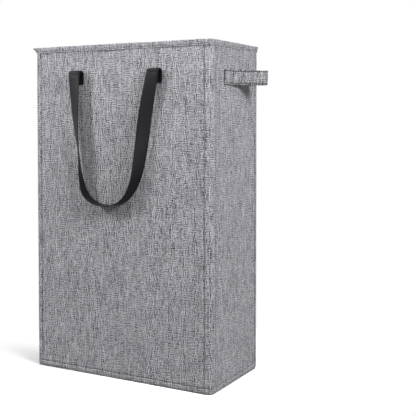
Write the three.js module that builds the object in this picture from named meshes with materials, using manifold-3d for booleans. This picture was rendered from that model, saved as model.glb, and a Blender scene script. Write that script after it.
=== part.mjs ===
// Pop-up laundry hamper: a slim upright fabric box. The front and rear walls are stiffened
// with boards and have a rod sewn into each corner. Each side wall is soft cloth with a
// crease down its middle, so it folds inwards while the floor board swings up, and the
// hamper closes flat. A mesh cover with a drawstring hem hangs inside below the rim.
// Millimetres, +Z up, origin under the centre of the floor, front wall facing -Y.

import * as THREE from 'three';
import { mergeVertices } from 'three/addons/utils/BufferGeometryUtils.js';
import Module from 'manifold-3d';

const wasm = await Module();
wasm.setup();

// Outer size of the cloth box, and the radius of its upright corners in plan.
const width = 352;
const depth = 171;
const height = 560;
const cornerRadius = 10;

// Layers of the stiff walls, from outside to inside, and the soft cloth elsewhere.
const panelCloth = 0.8;
const boardThickness = 2.4;
const liningCloth = 0.6;
const gussetCloth = 1.6;
const floorCloth = 1.2;
const layerGap = 0.1;
const seatGap = 0.3;

// Corner strips: the distance from each corner to the seams beside it, and the rod inside.
const cornerStrip = 13;
const sleeveInset = 5;
const sleeveCentre = 6;
const rodRadius = 2.8;
const rodFoot = 3;
const rodHeadroom = 16;

// The folded cloth hem that wraps the rim.
const hemDrop = 10;
const hemCloth = 0.8;
const hemFit = 0.15;

// Inner board of the stiff walls, kept back from the seams, the rim and the floor.
const boardSetback = 1.5;
const boardFoot = 6;
const boardHeadroom = 14;

// Loose board on the floor.
const floorBoardThickness = 3;
const floorBoardSideGap = 0.5;
const floorBoardFrontGap = 2.4;
const floorBoardRearGap = 0.5;
const floorBoardCorner = 4;

// Webbing handles: where they leave the wall to the left and right of its middle, seen from
// outside, where they fold over and how far they hang. The strap's lowest point is left of
// the middle. Its legs turn from flat on the wall to edge-on by shares of a quarter turn.
const webbingWidth = 22.5;
const webbingThickness = 1.8;
const handleLeftSlit = 80;
const handleRightSlit = 76;
const handleSlitDrop = 66;
const handleFoldDrop = 43;
const handleHangDrop = 268.5;
const handleLowestLeft = 8;
const foldRadius = 6;
const foldTurn = 138;
const strapWallGap = 0.9;
const legDropShares = [0, 0.31, 0.6, 0.8, 0.92, 0.98];
const leftSpreadShares = [1, 0.98, 0.895, 0.82, 0.695, 0.395];
const rightSpreadShares = [1, 0.82, 0.69, 0.555, 0.355, 0.09];
const legTwistShares = [0, 0.24, 0.45, 0.67, 0.93, 1];
const strapStations = 56;

// Cloth grab loops on the side walls.
const loopSpan = 85;
const loopTop = 45;
const loopHeight = 24;
const loopStandOff = 40;
const loopThickness = 2.2;
const loopAlongShares = [-1, -0.72, -0.3, 0.05, 0.4, 0.62, 0.75, 0.84, 0.83, 0.78, 0.76, 0.79, 0.87, 1];
const loopOutShares = [0, 0, 0.07, 0.29, 0.7, 0.96, 1, 0.92, 0.75, 0.42, 0.18, 0.05, 0, 0];
const loopStations = 60;

// Mesh cover, open and hanging inside the rim in soft upright folds.
const meshDrop = 168;
const meshThickness = 1;
const meshWave = 2;
const meshWaveLength = 27;
const meshWallGap = 0.5;
const meshCornerGap = 19;
const casingHeight = 10;
const casingThickness = 6;
const casingShift = 3;
const stepsPerFold = 6;
const rodSides = 16;

// Drawcord tails and the spring lock that slides on them.
const cordDiameter = 2.4;
const cordPitch = 2.8;
const cordSides = 8;
const cordSteps = 24;
const tailRouteLeft = [
  [0, 0, -0.3], [0, 0, -14], [0, 0, -28], [0, 0, -42], [0, 0, -56], [0, 0, -72], [-0.8, 0, -82],
  [-2.4, -0.3, -92], [-4.4, -0.8, -102], [-6.2, -1.2, -112], [-7.4, -1.4, -122], [-8, -1.4, -132],
  [-8.2, -1.2, -142],
];
const tailRouteRight = [
  [0, 0, -0.3], [0, 0, -14], [0, 0, -28], [0, 0, -42], [0, 0, -56], [0, 0, -72], [0.7, 0, -82],
  [2, 0.2, -92], [3.8, 0.5, -102], [5.2, 0.6, -112], [5.9, 0.5, -122], [5.7, 0.3, -132],
];
const knotRadius = 3.1;
const knotHeight = 8;
const knotShoulder = 0.85;
const knotShoulderHeight = 0.6;
const knotSides = 16;
const lockDrop = 16;
const lockWallGap = 0.4;
const lockRadius = 6;
const lockBoreRadius = 4.4;
const lockEnd = 8.5;
const lockBack = 10.5;
const lockFloor = 1.5;
const lockSides = 32;
const buttonRadius = 4.1;
const buttonStandOff = 5;
const buttonTravel = 3;
const buttonWeb = 1.8;
const springWire = 0.5;
const springRadius = 3.2;
const springCurls = 4;
const springStepsPerCurl = 8;
const springWireSides = 5;
const overrun = 5;

// Sizes that follow from the ones above.
const halfWidth = width / 2;
const halfDepth = depth / 2;
const wallThickness = panelCloth + boardThickness + liningCloth + 2 * layerGap;
const wallFoot = floorCloth + seatGap;
const wallTop = height - hemCloth - seatGap;
const hingeLine = halfDepth - cornerStrip;
const hemFoot = height - hemDrop;
const sleeveBore = rodRadius + seatGap;
const arcSteps = 6;
const cordRadius = cordDiameter / 2;
const casingTop = hemFoot - seatGap - meshDrop;
const wallMeshInset = wallThickness + meshWallGap + meshThickness / 2 + meshWave;
const sideMeshInset = gussetCloth + meshWallGap + meshThickness / 2 + meshWave;

// Finishes: each piece gets a material of its own.
function cloth(colour, roughness) {
  return new THREE.MeshStandardMaterial({ color: colour, roughness, metalness: 0 });
}
const linenCloth = () => cloth(0x8d8c92, 0.92);
const liningFinish = () => cloth(0xa9a9ab, 0.9);
const webbingFinish = () => cloth(0x26272a, 0.7);
const meshFinish = () => cloth(0x3a3b3d, 0.8);
const cordFinish = () => cloth(0x1c1c1e, 0.75);
const greyboard = () => cloth(0x9a8f7c, 0.9);
const blackPlastic = () => cloth(0x17181a, 0.4);
const steel = () => new THREE.MeshStandardMaterial({ color: 0xb9bcc0, roughness: 0.3, metalness: 1 });

// Closed geometry with shared corners, which is what the cuts and joins need.
function sealed(geometry) {
  const bare = geometry.clone();
  bare.deleteAttribute('normal');
  bare.deleteAttribute('uv');
  return mergeVertices(bare);
}

function toSolid(geometry) {
  const shell = sealed(geometry);
  return new wasm.Manifold(new wasm.Mesh({
    numProp: 3,
    vertProperties: new Float32Array(shell.attributes.position.array),
    triVerts: new Uint32Array(shell.index.array),
  }));
}

function fromSolid(solid) {
  const result = solid.getMesh();
  const geometry = new THREE.BufferGeometry();
  geometry.setAttribute('position', new THREE.BufferAttribute(result.vertProperties, 3));
  geometry.setIndex(new THREE.BufferAttribute(result.triVerts, 1));
  geometry.computeVertexNormals();
  return geometry;
}

function cut(body, ...tools) {
  let solid = toSolid(body);
  for (const tool of tools) {
    solid = solid.subtract(toSolid(tool));
  }
  return fromSolid(solid);
}

function piece(group, name, geometry, finish) {
  const mesh = new THREE.Mesh(geometry, finish);
  mesh.name = name;
  group.add(mesh);
  return mesh;
}

// A flat outline, given as [x, y] points, raised from z = foot to z = top.
function upright(points, foot, top, holes = []) {
  const shape = new THREE.Shape(points.map(([x, y]) => new THREE.Vector2(x, y)));
  shape.holes = holes;
  const geometry = new THREE.ExtrudeGeometry(shape, { depth: top - foot, bevelEnabled: false });
  return geometry.translate(0, 0, foot);
}

function block(low, high) {
  const size = low.map((value, axis) => high[axis] - value);
  const geometry = new THREE.BoxGeometry(...size);
  return geometry.translate(...low.map((value, axis) => value + size[axis] / 2));
}

function arc(centreX, centreY, radius, from, to) {
  const points = [];
  for (let step = 0; step <= arcSteps; step += 1) {
    const angle = from + (to - from) * step / arcSteps;
    points.push([centreX + radius * Math.cos(angle), centreY + radius * Math.sin(angle)]);
  }
  return points;
}

// The line that a stiff wall follows in plan, from hinge line to hinge line round two corners.
function wallLine(inset, end = hingeLine) {
  const across = halfWidth - cornerRadius;
  const back = halfDepth - cornerRadius;
  const radius = cornerRadius - inset;
  return [
    [halfWidth - inset, end],
    ...arc(across, back, radius, 0, Math.PI / 2),
    ...arc(-across, back, radius, Math.PI / 2, Math.PI),
    [inset - halfWidth, end],
  ];
}

function wallBand(outer, inner, foot, top, end = hingeLine) {
  return upright([...wallLine(outer, end), ...wallLine(inner, end).reverse()], foot, top);
}

// The rod pocket behind a corner strip, for the corner at +X +Y; mirror is -1 at -X.
function sleeve(mirror) {
  const outer = panelCloth + layerGap;
  const centreX = halfWidth - cornerRadius;
  const centreY = halfDepth - cornerRadius;
  const outline = [
    [halfWidth - outer, hingeLine],
    ...arc(centreX, centreY, cornerRadius - outer, 0, Math.PI / 2),
    [halfWidth - cornerStrip, halfDepth - outer],
    [halfWidth - cornerStrip, halfDepth - sleeveInset],
    [halfWidth - sleeveInset, hingeLine],
  ].map(([x, y]) => [mirror * x, y]);
  const bore = new THREE.Path();
  bore.absarc(mirror * (halfWidth - sleeveCentre), halfDepth - sleeveCentre, sleeveBore, 0, 2 * Math.PI);
  return upright(outline, wallFoot, hemFoot - seatGap, [bore]);
}

function rod() {
  const length = height - rodHeadroom - rodFoot;
  const geometry = new THREE.CylinderGeometry(rodRadius, rodRadius, length, rodSides);
  return geometry.rotateX(Math.PI / 2).translate(0, 0, rodFoot + length / 2);
}

// A strip of hanging cloth along X in soft folds, centred on y = 0.
function foldedStrip(from, to, thickness, foot, top) {
  const folds = Math.max(1, Math.round((to - from) / meshWaveLength));
  const steps = folds * stepsPerFold;
  const face = (side) => {
    const points = [];
    for (let step = 0; step <= steps; step += 1) {
      const sway = meshWave * Math.cos(2 * Math.PI * folds * step / steps);
      points.push([from + (to - from) * step / steps, sway + side * thickness / 2]);
    }
    return points;
  };
  return upright([...face(-1), ...face(1).reverse()], foot, top);
}

// A flat band of cloth or webbing swept through stations of {centre, across, out}.
function band(stations, wide, thick) {
  const positions = [];
  const triangles = [];
  for (const { centre, across, out } of stations) {
    for (const [side, face] of [[-1, -1], [1, -1], [1, 1], [-1, 1]]) {
      const corner = centre.clone();
      corner.addScaledVector(across, side * wide / 2).addScaledVector(out, face * thick / 2);
      positions.push(...corner.toArray());
    }
  }
  const last = (stations.length - 1) * 4;
  for (let ring = 0; ring < last; ring += 4) {
    for (let side = 0; side < 4; side += 1) {
      const next = (side + 1) % 4;
      triangles.push(ring + side, ring + next, ring + 4 + next);
      triangles.push(ring + side, ring + 4 + next, ring + 4 + side);
    }
  }
  triangles.push(0, 2, 1, 0, 3, 2);
  triangles.push(last, last + 1, last + 2, last, last + 2, last + 3);
  const geometry = new THREE.BufferGeometry();
  geometry.setAttribute('position', new THREE.Float32BufferAttribute(positions, 3));
  geometry.setIndex(triangles);
  geometry.computeVertexNormals();
  return geometry;
}

// Webbing handle. The fold stands off the wall by its radius, and the strap hangs from the
// front of the fold. Its legs draw together and turn edge-on to the wall at the bottom.
const foldHeight = height - handleFoldDrop - foldRadius - webbingThickness / 2;
const tabFace = halfDepth + seatGap + webbingThickness / 2;
const strapFace = tabFace + 2 * foldRadius;
const bottomFace = halfDepth + strapWallGap + webbingWidth / 2;

function handleTab() {
  const foldCentre = tabFace + foldRadius;
  const turn = THREE.MathUtils.degToRad(foldTurn);
  const half = webbingThickness / 2;
  const outside = arc(foldCentre, foldHeight, foldRadius + half, Math.PI, Math.PI - turn);
  const inside = arc(foldCentre, foldHeight, foldRadius - half, Math.PI - turn, Math.PI);
  const foot = height - handleSlitDrop;
  const profile = [[tabFace - half, foot], ...outside, ...inside, [tabFace + half, foot]];
  const geometry = upright(profile, -webbingWidth / 2, webbingWidth / 2);
  return geometry.rotateX(Math.PI / 2).rotateZ(Math.PI / 2);
}

// The route of the rear handle, whose left leg, seen from outside, is at +X.
function strapRoute() {
  const drop = foldHeight - (height - handleHangDrop);
  const leg = (spreads, slit) => spreads.map((spread, index) => new THREE.Vector3(
    spread * slit, 0, foldHeight - legDropShares[index] * drop));
  const lowest = new THREE.Vector3(handleLowestLeft, 0, foldHeight - drop);
  const right = leg(rightSpreadShares, -handleRightSlit).reverse();
  return new THREE.CatmullRomCurve3(
    [...leg(leftSpreadShares, handleLeftSlit), lowest, ...right], false, 'centripetal');
}

// How far a leg has turned at a share of its length, from the fold down to the lowest point.
function legTwist(share) {
  const at = share * (legTwistShares.length - 1);
  const index = Math.min(Math.floor(at), legTwistShares.length - 2);
  const [near, far] = legTwistShares.slice(index, index + 2);
  return Math.PI / 2 * (near + (far - near) * (at - index));
}

function handleStrap() {
  const route = strapRoute();
  const shares = Array.from({ length: strapStations + 1 }, (_, step) => step / strapStations);
  const centres = shares.map((share) => route.getPointAt(share));
  const lowest = shares[centres.reduce((best, centre, step) => (centre.z < centres[best].z ? step : best), 0)];
  const stations = shares.map((share, step) => {
    const centre = centres[step];
    const along = route.getTangentAt(share);
    const twist = legTwist(share < lowest ? share / lowest : (1 - share) / (1 - lowest));
    const outer = new THREE.Vector3(-along.z, 0, along.x);
    const front = new THREE.Vector3(0, 1, 0);
    centre.y = strapFace + (bottomFace - strapFace) * Math.sin(twist);
    const across = outer.clone().multiplyScalar(-Math.cos(twist));
    across.addScaledVector(front, Math.sin(twist));
    const out = front.clone().multiplyScalar(Math.cos(twist));
    out.addScaledVector(outer, Math.sin(twist));
    return { centre, across, out };
  });
  return band(stations, webbingWidth, webbingThickness);
}

// A stiff wall, standing at the rear. The front wall is the same wall turned about Z, which
// swaps its left and right corners.
function stiffWall(side, plusX, minusX) {
  const wall = new THREE.Group();
  const boardOuter = halfDepth - panelCloth - layerGap;
  const boardInner = boardOuter - boardThickness;
  const liningOuter = boardInner - layerGap;
  const seam = halfWidth - cornerStrip;
  piece(wall, `${side}_panel`, wallBand(0, panelCloth, wallFoot, wallTop), linenCloth());
  const boardEdge = seam - boardSetback;
  piece(wall, `${side}_board`, block(
    [-boardEdge, boardInner, boardFoot], [boardEdge, boardOuter, height - boardHeadroom]), greyboard());
  piece(wall, `${side}_lining`, block(
    [-seam, liningOuter - liningCloth, wallFoot], [seam, liningOuter, wallTop]), liningFinish());
  const channelInner = wallThickness + hemFit;
  const hem = cut(
    wallBand(-hemFit - hemCloth, channelInner + hemCloth, hemFoot, height),
    wallBand(-hemFit, channelInner, hemFoot - overrun, height - hemCloth, hingeLine - overrun));
  piece(wall, `${side}_hem`, hem, linenCloth());
  for (const [corner, mirror, slit] of [[plusX, 1, handleLeftSlit], [minusX, -1, handleRightSlit]]) {
    piece(wall, `${side}_${corner}_sleeve`, sleeve(mirror), liningFinish());
    const support = piece(wall, `${side}_${corner}_rod`, rod(), steel());
    support.position.set(mirror * (halfWidth - sleeveCentre), halfDepth - sleeveCentre, 0);
    const tab = piece(wall, `${side}_handle_${corner}_tab`, handleTab(), webbingFinish());
    tab.position.x = mirror * slit;
  }
  piece(wall, `${side}_handle_strap`, handleStrap(), webbingFinish());

  const meshEdge = halfWidth - meshCornerGap;
  const mesh = foldedStrip(-meshEdge, meshEdge, meshThickness, casingTop + seatGap, hemFoot - seatGap);
  piece(wall, `${side}_mesh`, mesh, meshFinish()).position.y = halfDepth - wallMeshInset;
  const casing = block(
    [-meshEdge, -casingThickness / 2, casingTop - casingHeight], [meshEdge, casingThickness / 2, casingTop]);
  piece(wall, `${side}_mesh_casing`, casing, meshFinish())
    .position.y = halfDepth - wallMeshInset - casingShift;
  return wall;
}

// A grab loop of the side wall at +X, whose slack stands off towards +Y, or towards -Y where
// towards is -1.
function grabLoop(towards) {
  const points = loopAlongShares.map((share, index) => new THREE.Vector3(
    halfWidth + seatGap + loopThickness / 2 + loopOutShares[index] * loopStandOff,
    towards * share * loopSpan / 2, 0));
  const route = new THREE.CatmullRomCurve3(points, false, 'centripetal');
  const up = new THREE.Vector3(0, 0, 1);
  const stations = [];
  for (let step = 0; step <= loopStations; step += 1) {
    const centre = route.getPointAt(step / loopStations);
    const along = route.getTangentAt(step / loopStations);
    stations.push({ centre, across: up, out: new THREE.Vector3(along.y, -along.x, 0) });
  }
  const loop = band(stations, loopHeight, loopThickness);
  return loop.translate(0, 0, height - loopTop - loopHeight / 2);
}

// A soft side wall, standing at +X, in two halves that meet at the middle crease. The other
// side wall is the same one turned about Z, which swaps its front and rear halves. The slack
// of both grab loops lies towards the rear.
function softSide(side, plusY, minusY) {
  const wall = new THREE.Group();
  const inner = halfWidth - gussetCloth;
  for (const [half, turn] of [[plusY, 1], [minusY, -1]]) {
    const span = (near, far) => (turn > 0 ? [near, far] : [-far, -near]);
    const [low, high] = span(seatGap / 2, hingeLine - seatGap);
    piece(wall, `${side}_${half}_gusset`, block(
      [inner, low, wallFoot], [halfWidth, high, wallTop]), linenCloth());
    const outside = halfWidth + hemFit;
    const inside = inner - hemFit;
    const hemProfile = [
      [outside, hemFoot], [outside + hemCloth, hemFoot], [outside + hemCloth, height],
      [inside - hemCloth, height], [inside - hemCloth, hemFoot], [inside, hemFoot],
      [inside, height - hemCloth], [outside, height - hemCloth],
    ];
    const hem = upright(hemProfile, -high, -low).rotateX(Math.PI / 2);
    piece(wall, `${side}_${half}_hem`, hem, linenCloth());
    const [meshLow, meshHigh] = span(seatGap / 2, halfDepth - meshCornerGap);
    const middle = halfWidth - sideMeshInset;
    const mesh = foldedStrip(meshLow, meshHigh, meshThickness, casingTop + seatGap, hemFoot - seatGap);
    mesh.rotateZ(Math.PI / 2);
    piece(wall, `${side}_${half}_mesh`, mesh, meshFinish()).position.x = middle;
    const casing = block(
      [-casingThickness / 2, meshLow, casingTop - casingHeight],
      [casingThickness / 2, meshHigh, casingTop]);
    piece(wall, `${side}_${half}_mesh_casing`, casing, meshFinish())
      .position.x = middle - casingShift;
  }
  piece(wall, `${side}_grab_loop`, grabLoop(plusY === 'rear' ? 1 : -1), linenCloth());
  return wall;
}

// Floor: a cloth bottom under all the walls, and a loose board that lies on it.
function floor() {
  const group = new THREE.Group();
  const rounded = (halfX, rear, front, radius) => [
    ...arc(halfX - radius, rear - radius, radius, 0, Math.PI / 2),
    ...arc(radius - halfX, rear - radius, radius, Math.PI / 2, Math.PI),
    ...arc(radius - halfX, radius - front, radius, Math.PI, 3 * Math.PI / 2),
    ...arc(halfX - radius, radius - front, radius, 3 * Math.PI / 2, 2 * Math.PI),
  ];
  piece(group, 'floor_cloth', upright(
    rounded(halfWidth, halfDepth, halfDepth, cornerRadius), 0, floorCloth), linenCloth());
  const inside = halfDepth - wallThickness;
  const boardHalf = halfWidth - cornerStrip - floorBoardSideGap;
  const outline = rounded(
    boardHalf, inside - floorBoardRearGap, inside - floorBoardFrontGap, floorBoardCorner);
  const foot = floorCloth + seatGap;
  piece(group, 'floor_board', upright(outline, foot, foot + floorBoardThickness), greyboard());
  return group;
}

// Drawcord tails, which leave the rear casing at the middle and end in knots, and the lock.
function cordTail(route, shift) {
  const points = route.map(([x, y, z]) => new THREE.Vector3(x, y + shift, z));
  const path = new THREE.CatmullRomCurve3(points, false, 'centripetal');
  const section = new THREE.Shape();
  for (let side = 0; side < cordSides; side += 1) {
    const angle = 2 * Math.PI * side / cordSides;
    const corner = [cordRadius * Math.cos(angle), cordRadius * Math.sin(angle)];
    if (side === 0) {
      section.moveTo(...corner);
    } else {
      section.lineTo(...corner);
    }
  }
  return new THREE.ExtrudeGeometry(section, { steps: cordSteps, bevelEnabled: false, extrudePath: path });
}

function knot() {
  const half = knotHeight / 2;
  const shoulder = [knotRadius * knotShoulder, half * knotShoulderHeight];
  const profile = [
    [0, half], [cordRadius, half], shoulder, [knotRadius, 0],
    [shoulder[0], -shoulder[1]], [cordRadius, -half], [0, -half],
  ];
  const points = profile.map(([x, y]) => new THREE.Vector2(x, y)).reverse();
  return new THREE.LatheGeometry(points, knotSides).rotateX(Math.PI / 2);
}

function alongX(radius, from, to) {
  const geometry = new THREE.CylinderGeometry(radius, radius, to - from, lockSides);
  return geometry.rotateZ(Math.PI / 2).translate((from + to) / 2, 0, 0);
}

function spring() {
  const from = lockFloor - lockBack + springWire / 2 + seatGap;
  const to = -cordRadius - seatGap - buttonWeb - springWire / 2 - seatGap;
  const perCurl = springStepsPerCurl;
  const sides = springWireSides;
  const centres = [];
  for (let step = 0; step <= springCurls * perCurl; step += 1) {
    const angle = 2 * Math.PI * step / perCurl;
    centres.push(new THREE.Vector3(
      from + (to - from) * step / (springCurls * perCurl),
      springRadius * Math.cos(angle), springRadius * Math.sin(angle)));
  }
  const positions = [];
  const triangles = [];
  for (const [step, centre] of centres.entries()) {
    const angle = 2 * Math.PI * step / perCurl;
    for (let side = 0; side < sides; side += 1) {
      const around = 2 * Math.PI * side / sides;
      const reach = springRadius + springWire / 2 * Math.cos(around);
      positions.push(
        centre.x + springWire / 2 * Math.sin(around), reach * Math.cos(angle), reach * Math.sin(angle));
    }
  }
  const last = (centres.length - 1) * sides;
  for (let ring = 0; ring < last; ring += sides) {
    for (let side = 0; side < sides; side += 1) {
      const next = (side + 1) % sides;
      triangles.push(ring + side, ring + sides + next, ring + next);
      triangles.push(ring + side, ring + sides + side, ring + sides + next);
    }
  }
  for (let side = 1; side < sides - 1; side += 1) {
    triangles.push(0, side, side + 1);
    triangles.push(last, last + side + 1, last + side);
  }
  const pitch = (to - from) / springCurls;
  console.log(`spring: least gap between curls ${(pitch - springWire).toFixed(2)} mm`);
  const geometry = new THREE.BufferGeometry();
  geometry.setAttribute('position', new THREE.Float32BufferAttribute(positions, 3));
  geometry.setIndex(triangles);
  geometry.computeVertexNormals();
  return geometry;
}

function drawcord() {
  const group = new THREE.Group();
  const cordLine = halfDepth - wallThickness - lockWallGap - lockRadius;
  group.position.set(0, cordLine, casingTop - casingHeight);
  const tails = [['left', tailRouteLeft, -1], ['right', tailRouteRight, 1]];
  for (const [side, route, turn] of tails) {
    const shift = turn * cordPitch / 2;
    piece(group, `cord_tail_${side}`, cordTail(route, shift), cordFinish());
    const [x, y, z] = route[route.length - 1];
    piece(group, `cord_knot_${side}`, knot(), cordFinish())
      .position.set(x, y + shift, z - seatGap - knotHeight / 2);
  }

  const lock = new THREE.Group();
  lock.position.z = -lockDrop;
  const grip = cordRadius + seatGap;
  const slotHalf = cordPitch / 2 + grip;
  const body = cut(
    alongX(lockRadius, -lockBack, lockEnd),
    alongX(lockBoreRadius, lockFloor - lockBack, lockEnd + overrun),
    block([-grip, -slotHalf, -lockRadius - overrun], [grip, slotHalf, lockRadius + overrun]));
  piece(lock, 'cord_lock_body', body, blackPlastic());
  const button = cut(
    alongX(buttonRadius, -grip - buttonWeb, lockEnd + buttonStandOff),
    block([-grip, -slotHalf, -lockRadius], [grip + buttonTravel, slotHalf, lockRadius]));
  piece(lock, 'cord_lock_button', button, blackPlastic());
  piece(lock, 'cord_lock_spring', spring(), steel());
  group.add(lock);
  return group;
}

const hamper = new THREE.Group();
const front = stiffWall('front', 'left', 'right');
front.rotation.z = Math.PI;
const left = softSide('left', 'front', 'rear');
left.rotation.z = Math.PI;
hamper.add(stiffWall('rear', 'right', 'left'), front, softSide('right', 'rear', 'front'), left);
hamper.add(floor(), drawcord());

export default hamper;
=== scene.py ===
import math
import bpy
import numpy as np
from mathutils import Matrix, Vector


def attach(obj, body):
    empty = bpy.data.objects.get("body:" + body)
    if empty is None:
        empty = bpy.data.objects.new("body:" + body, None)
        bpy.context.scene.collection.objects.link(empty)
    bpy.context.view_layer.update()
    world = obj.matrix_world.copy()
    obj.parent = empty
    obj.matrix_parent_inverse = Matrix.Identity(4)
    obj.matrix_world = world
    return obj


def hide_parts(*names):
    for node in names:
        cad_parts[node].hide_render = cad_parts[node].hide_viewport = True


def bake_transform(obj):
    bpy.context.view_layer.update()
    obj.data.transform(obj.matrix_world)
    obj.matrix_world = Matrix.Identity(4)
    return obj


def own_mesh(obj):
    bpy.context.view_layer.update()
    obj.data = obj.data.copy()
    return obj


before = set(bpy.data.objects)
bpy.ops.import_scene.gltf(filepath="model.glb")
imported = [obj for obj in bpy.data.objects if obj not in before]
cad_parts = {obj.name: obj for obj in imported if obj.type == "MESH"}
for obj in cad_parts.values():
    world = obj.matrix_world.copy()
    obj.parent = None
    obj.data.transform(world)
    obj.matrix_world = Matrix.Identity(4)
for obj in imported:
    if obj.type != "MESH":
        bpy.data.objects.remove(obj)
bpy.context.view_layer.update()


# Stage: the hamper stands on a plain pale floor in soft studio light, seen from its front
# right corner by a camera at three quarters of its height that looks 2 degrees down. A lamp at
# the front left gives the shadows beside the handle, one at the right lights the side wall, a
# weak one lights the rim and a wide one behind lights the rear.
MM = 0.001
# The camera, as fitted to the six corners of the hamper that the photo shows. The shift puts
# the hamper as high in the picture as it stands there.
CAMERA_AT = (0.7778, -1.1943, 0.4326)
CAMERA_TILT = 88
CAMERA_HEADING = 28.72
SENSOR_MM = 36
LENS_MM = 70.36
VIEW_SHIFT = -0.1416
FLOOR_HALF = 6.0


def linear(code):
    """An sRGB hex colour as the linear colour that a shader takes."""
    shares = [int(code[at:at + 2], 16) / 255 for at in (1, 3, 5)]
    return [s / 12.92 if s <= 0.04045 else ((s + 0.055) / 1.055) ** 2.4 for s in shares] + [1.0]


def add(tree, kind, inputs=None, **settings):
    """Adds a node with its settings. An input is a plain value, another node's output, or a
    node, which stands for its first output."""
    node = tree.nodes.new("ShaderNode" + kind)
    for key, value in settings.items():
        setattr(node, key, value)
    for key, value in (inputs or {}).items():
        if isinstance(value, bpy.types.Node):
            value = value.outputs[0]
        if isinstance(value, bpy.types.NodeSocket):
            tree.links.new(value, node.inputs[key])
        else:
            node.inputs[key].default_value = value
    return node


def lamp(name, place, aim, size, power):
    """A square soft lamp at place that points at aim, both in metres."""
    data = bpy.data.lights.new(name, "AREA")
    data.size = size
    data.energy = power
    holder = bpy.data.objects.new(name, data)
    holder.location = place
    holder.rotation_euler = (Vector(aim) - Vector(place)).to_track_quat("-Z", "Y").to_euler()
    bpy.context.scene.collection.objects.link(holder)


def seen_rays(tree):
    """1 for what the camera sees, directly or in a reflection, and 0 for light that bounces."""
    path = add(tree, "LightPath")
    mirrored = add(tree, "Math", {0: path.outputs["Is Glossy Ray"], 1: path.outputs["Is Transmission Ray"]})
    return add(tree, "Math", {0: path.outputs["Is Camera Ray"], 1: mirrored}, use_clamp=True)


camera_data = bpy.data.cameras.new("camera")
camera_data.sensor_width = SENSOR_MM
camera_data.lens = LENS_MM
camera_data.shift_y = VIEW_SHIFT
camera = bpy.data.objects.new("camera", camera_data)
camera.location = CAMERA_AT
camera.rotation_euler = (math.radians(CAMERA_TILT), 0, math.radians(CAMERA_HEADING))
bpy.context.scene.collection.objects.link(camera)
bpy.context.scene.camera = camera
bpy.context.scene.view_settings.view_transform = "Standard"

lamp("key_lamp", (-1.1, -1.1, 1.25), (0, 0, 0.45), 0.4, 18.5)
lamp("side_lamp", (1.62, -0.65, 1.33), (0.1, 0, 0.35), 0.7, 31.5)
lamp("top_lamp", (0.1, -0.5, 0.95), (0, 0, 0.45), 0.4, 1.2)
lamp("back_lamp", (-0.1, 1.6, 1.7), (0, 0, 0.35), 1.2, 22)

studio = bpy.data.worlds.new("studio")
bpy.context.scene.world = studio
studio.use_nodes = True
sky = studio.node_tree
sky.nodes.clear()
ambient = add(sky, "Background", {"Color": linear("#F4F6FA"), "Strength": 0.07})
backdrop = add(sky, "Background", {"Color": linear("#FFFFFF"), "Strength": 1.0})
blended = add(sky, "MixShader", {0: seen_rays(sky), 1: ambient, 2: backdrop})
add(sky, "OutputWorld", {"Surface": blended})


def new_material(name):
    """An empty material and its node tree."""
    made = bpy.data.materials.new(name)
    made.use_nodes = True
    made.node_tree.nodes.clear()
    return made, made.node_tree


# A matt white floor. What the camera sees of it is lifted to white, more so at the right, and
# it keeps the shadow at the hamper's left. It returns less light than it shows.
floor_paint, tree = new_material("floor_matt_white")
matt = add(tree, "BsdfDiffuse", {"Color": linear("#FFFFFF")})
bounce = add(tree, "BsdfDiffuse", {"Color": linear("#9C9C9C")})
place = add(tree, "NewGeometry").outputs["Position"]
apart = add(tree, "SeparateXYZ", {0: place})
right = add(tree, "MapRange", {0: apart.outputs[0], 1: -0.15, 2: 0.05, 3: 0.0, 4: 0.5})
aside = add(tree, "Math", {0: add(tree, "Math", {0: apart.outputs[1], 1: 0.05})}, operation="ABSOLUTE")
behind = add(tree, "MapRange", {0: aside, 1: 0.02, 2: 0.1, 3: 0.0, 4: 0.4})
lift = add(tree, "Math", {0: right, 1: behind})
glow = add(tree, "Emission", {"Color": linear("#FFFFFF"), "Strength": lift})
lifted = add(tree, "AddShader", {0: matt, 1: glow})
white = add(tree, "Emission", {"Color": linear("#FFFFFF"), "Strength": 1.0})
away = add(tree, "VectorMath", {0: place}, operation="LENGTH")
far = add(tree, "MapRange", {0: away.outputs["Value"], 1: 0.21, 2: 0.36}, interpolation_type="SMOOTHSTEP")
faded = add(tree, "MixShader", {0: far, 1: lifted, 2: white})
blended = add(tree, "MixShader", {0: seen_rays(tree), 1: bounce, 2: faded})
add(tree, "OutputMaterial", {"Surface": blended})

floor_mesh = bpy.data.meshes.new("studio_floor")
floor_mesh.from_pydata(
    [(x * FLOOR_HALF, y * FLOOR_HALF, 0) for x, y in ((-1, -1), (1, -1), (1, 1), (-1, 1))],
    [], [(0, 1, 2, 3)])
floor_mesh.materials.append(floor_paint)
studio_floor = bpy.data.objects.new("studio_floor", floor_mesh)
bpy.context.scene.collection.objects.link(studio_floor)


# Outer cloth of the two stiff walls: polyester cloth woven like linen from grey slub yarns,
# lighter and darker by turns. It wraps the board and both corner rods, is seamed 13 mm from
# each corner to make the rod pockets, and is turned under and stitched along the bottom.
WIDTH = 352.0
DEPTH = 171.0
HEIGHT = 560.0
CORNER_RADIUS = 10.0
CORNER_STRIP = 13.0
WALL_FOOT = 1.5
WALL_TOP = 558.9
PANEL_CLOTH = 0.8
BOTTOM_SEAM = 10.5
HEM_FOOT = 550.0
STRAIGHT = WIDTH / 2 - CORNER_RADIUS
TURN = CORNER_RADIUS * math.pi / 2
HINGE_LINE = DEPTH / 2 - CORNER_STRIP
WALL_HALF = STRAIGHT + TURN + DEPTH / 2 - CORNER_RADIUS - HINGE_LINE
SEAM_AT = WIDTH / 2 - CORNER_STRIP

# Yarn spacing is about 0.6 mm on the real cloth; it is drawn coarser so that it shows.
YARN_MM = 1.75
SLUB_MM = 30.0
WARP_APART = 1.15


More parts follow.
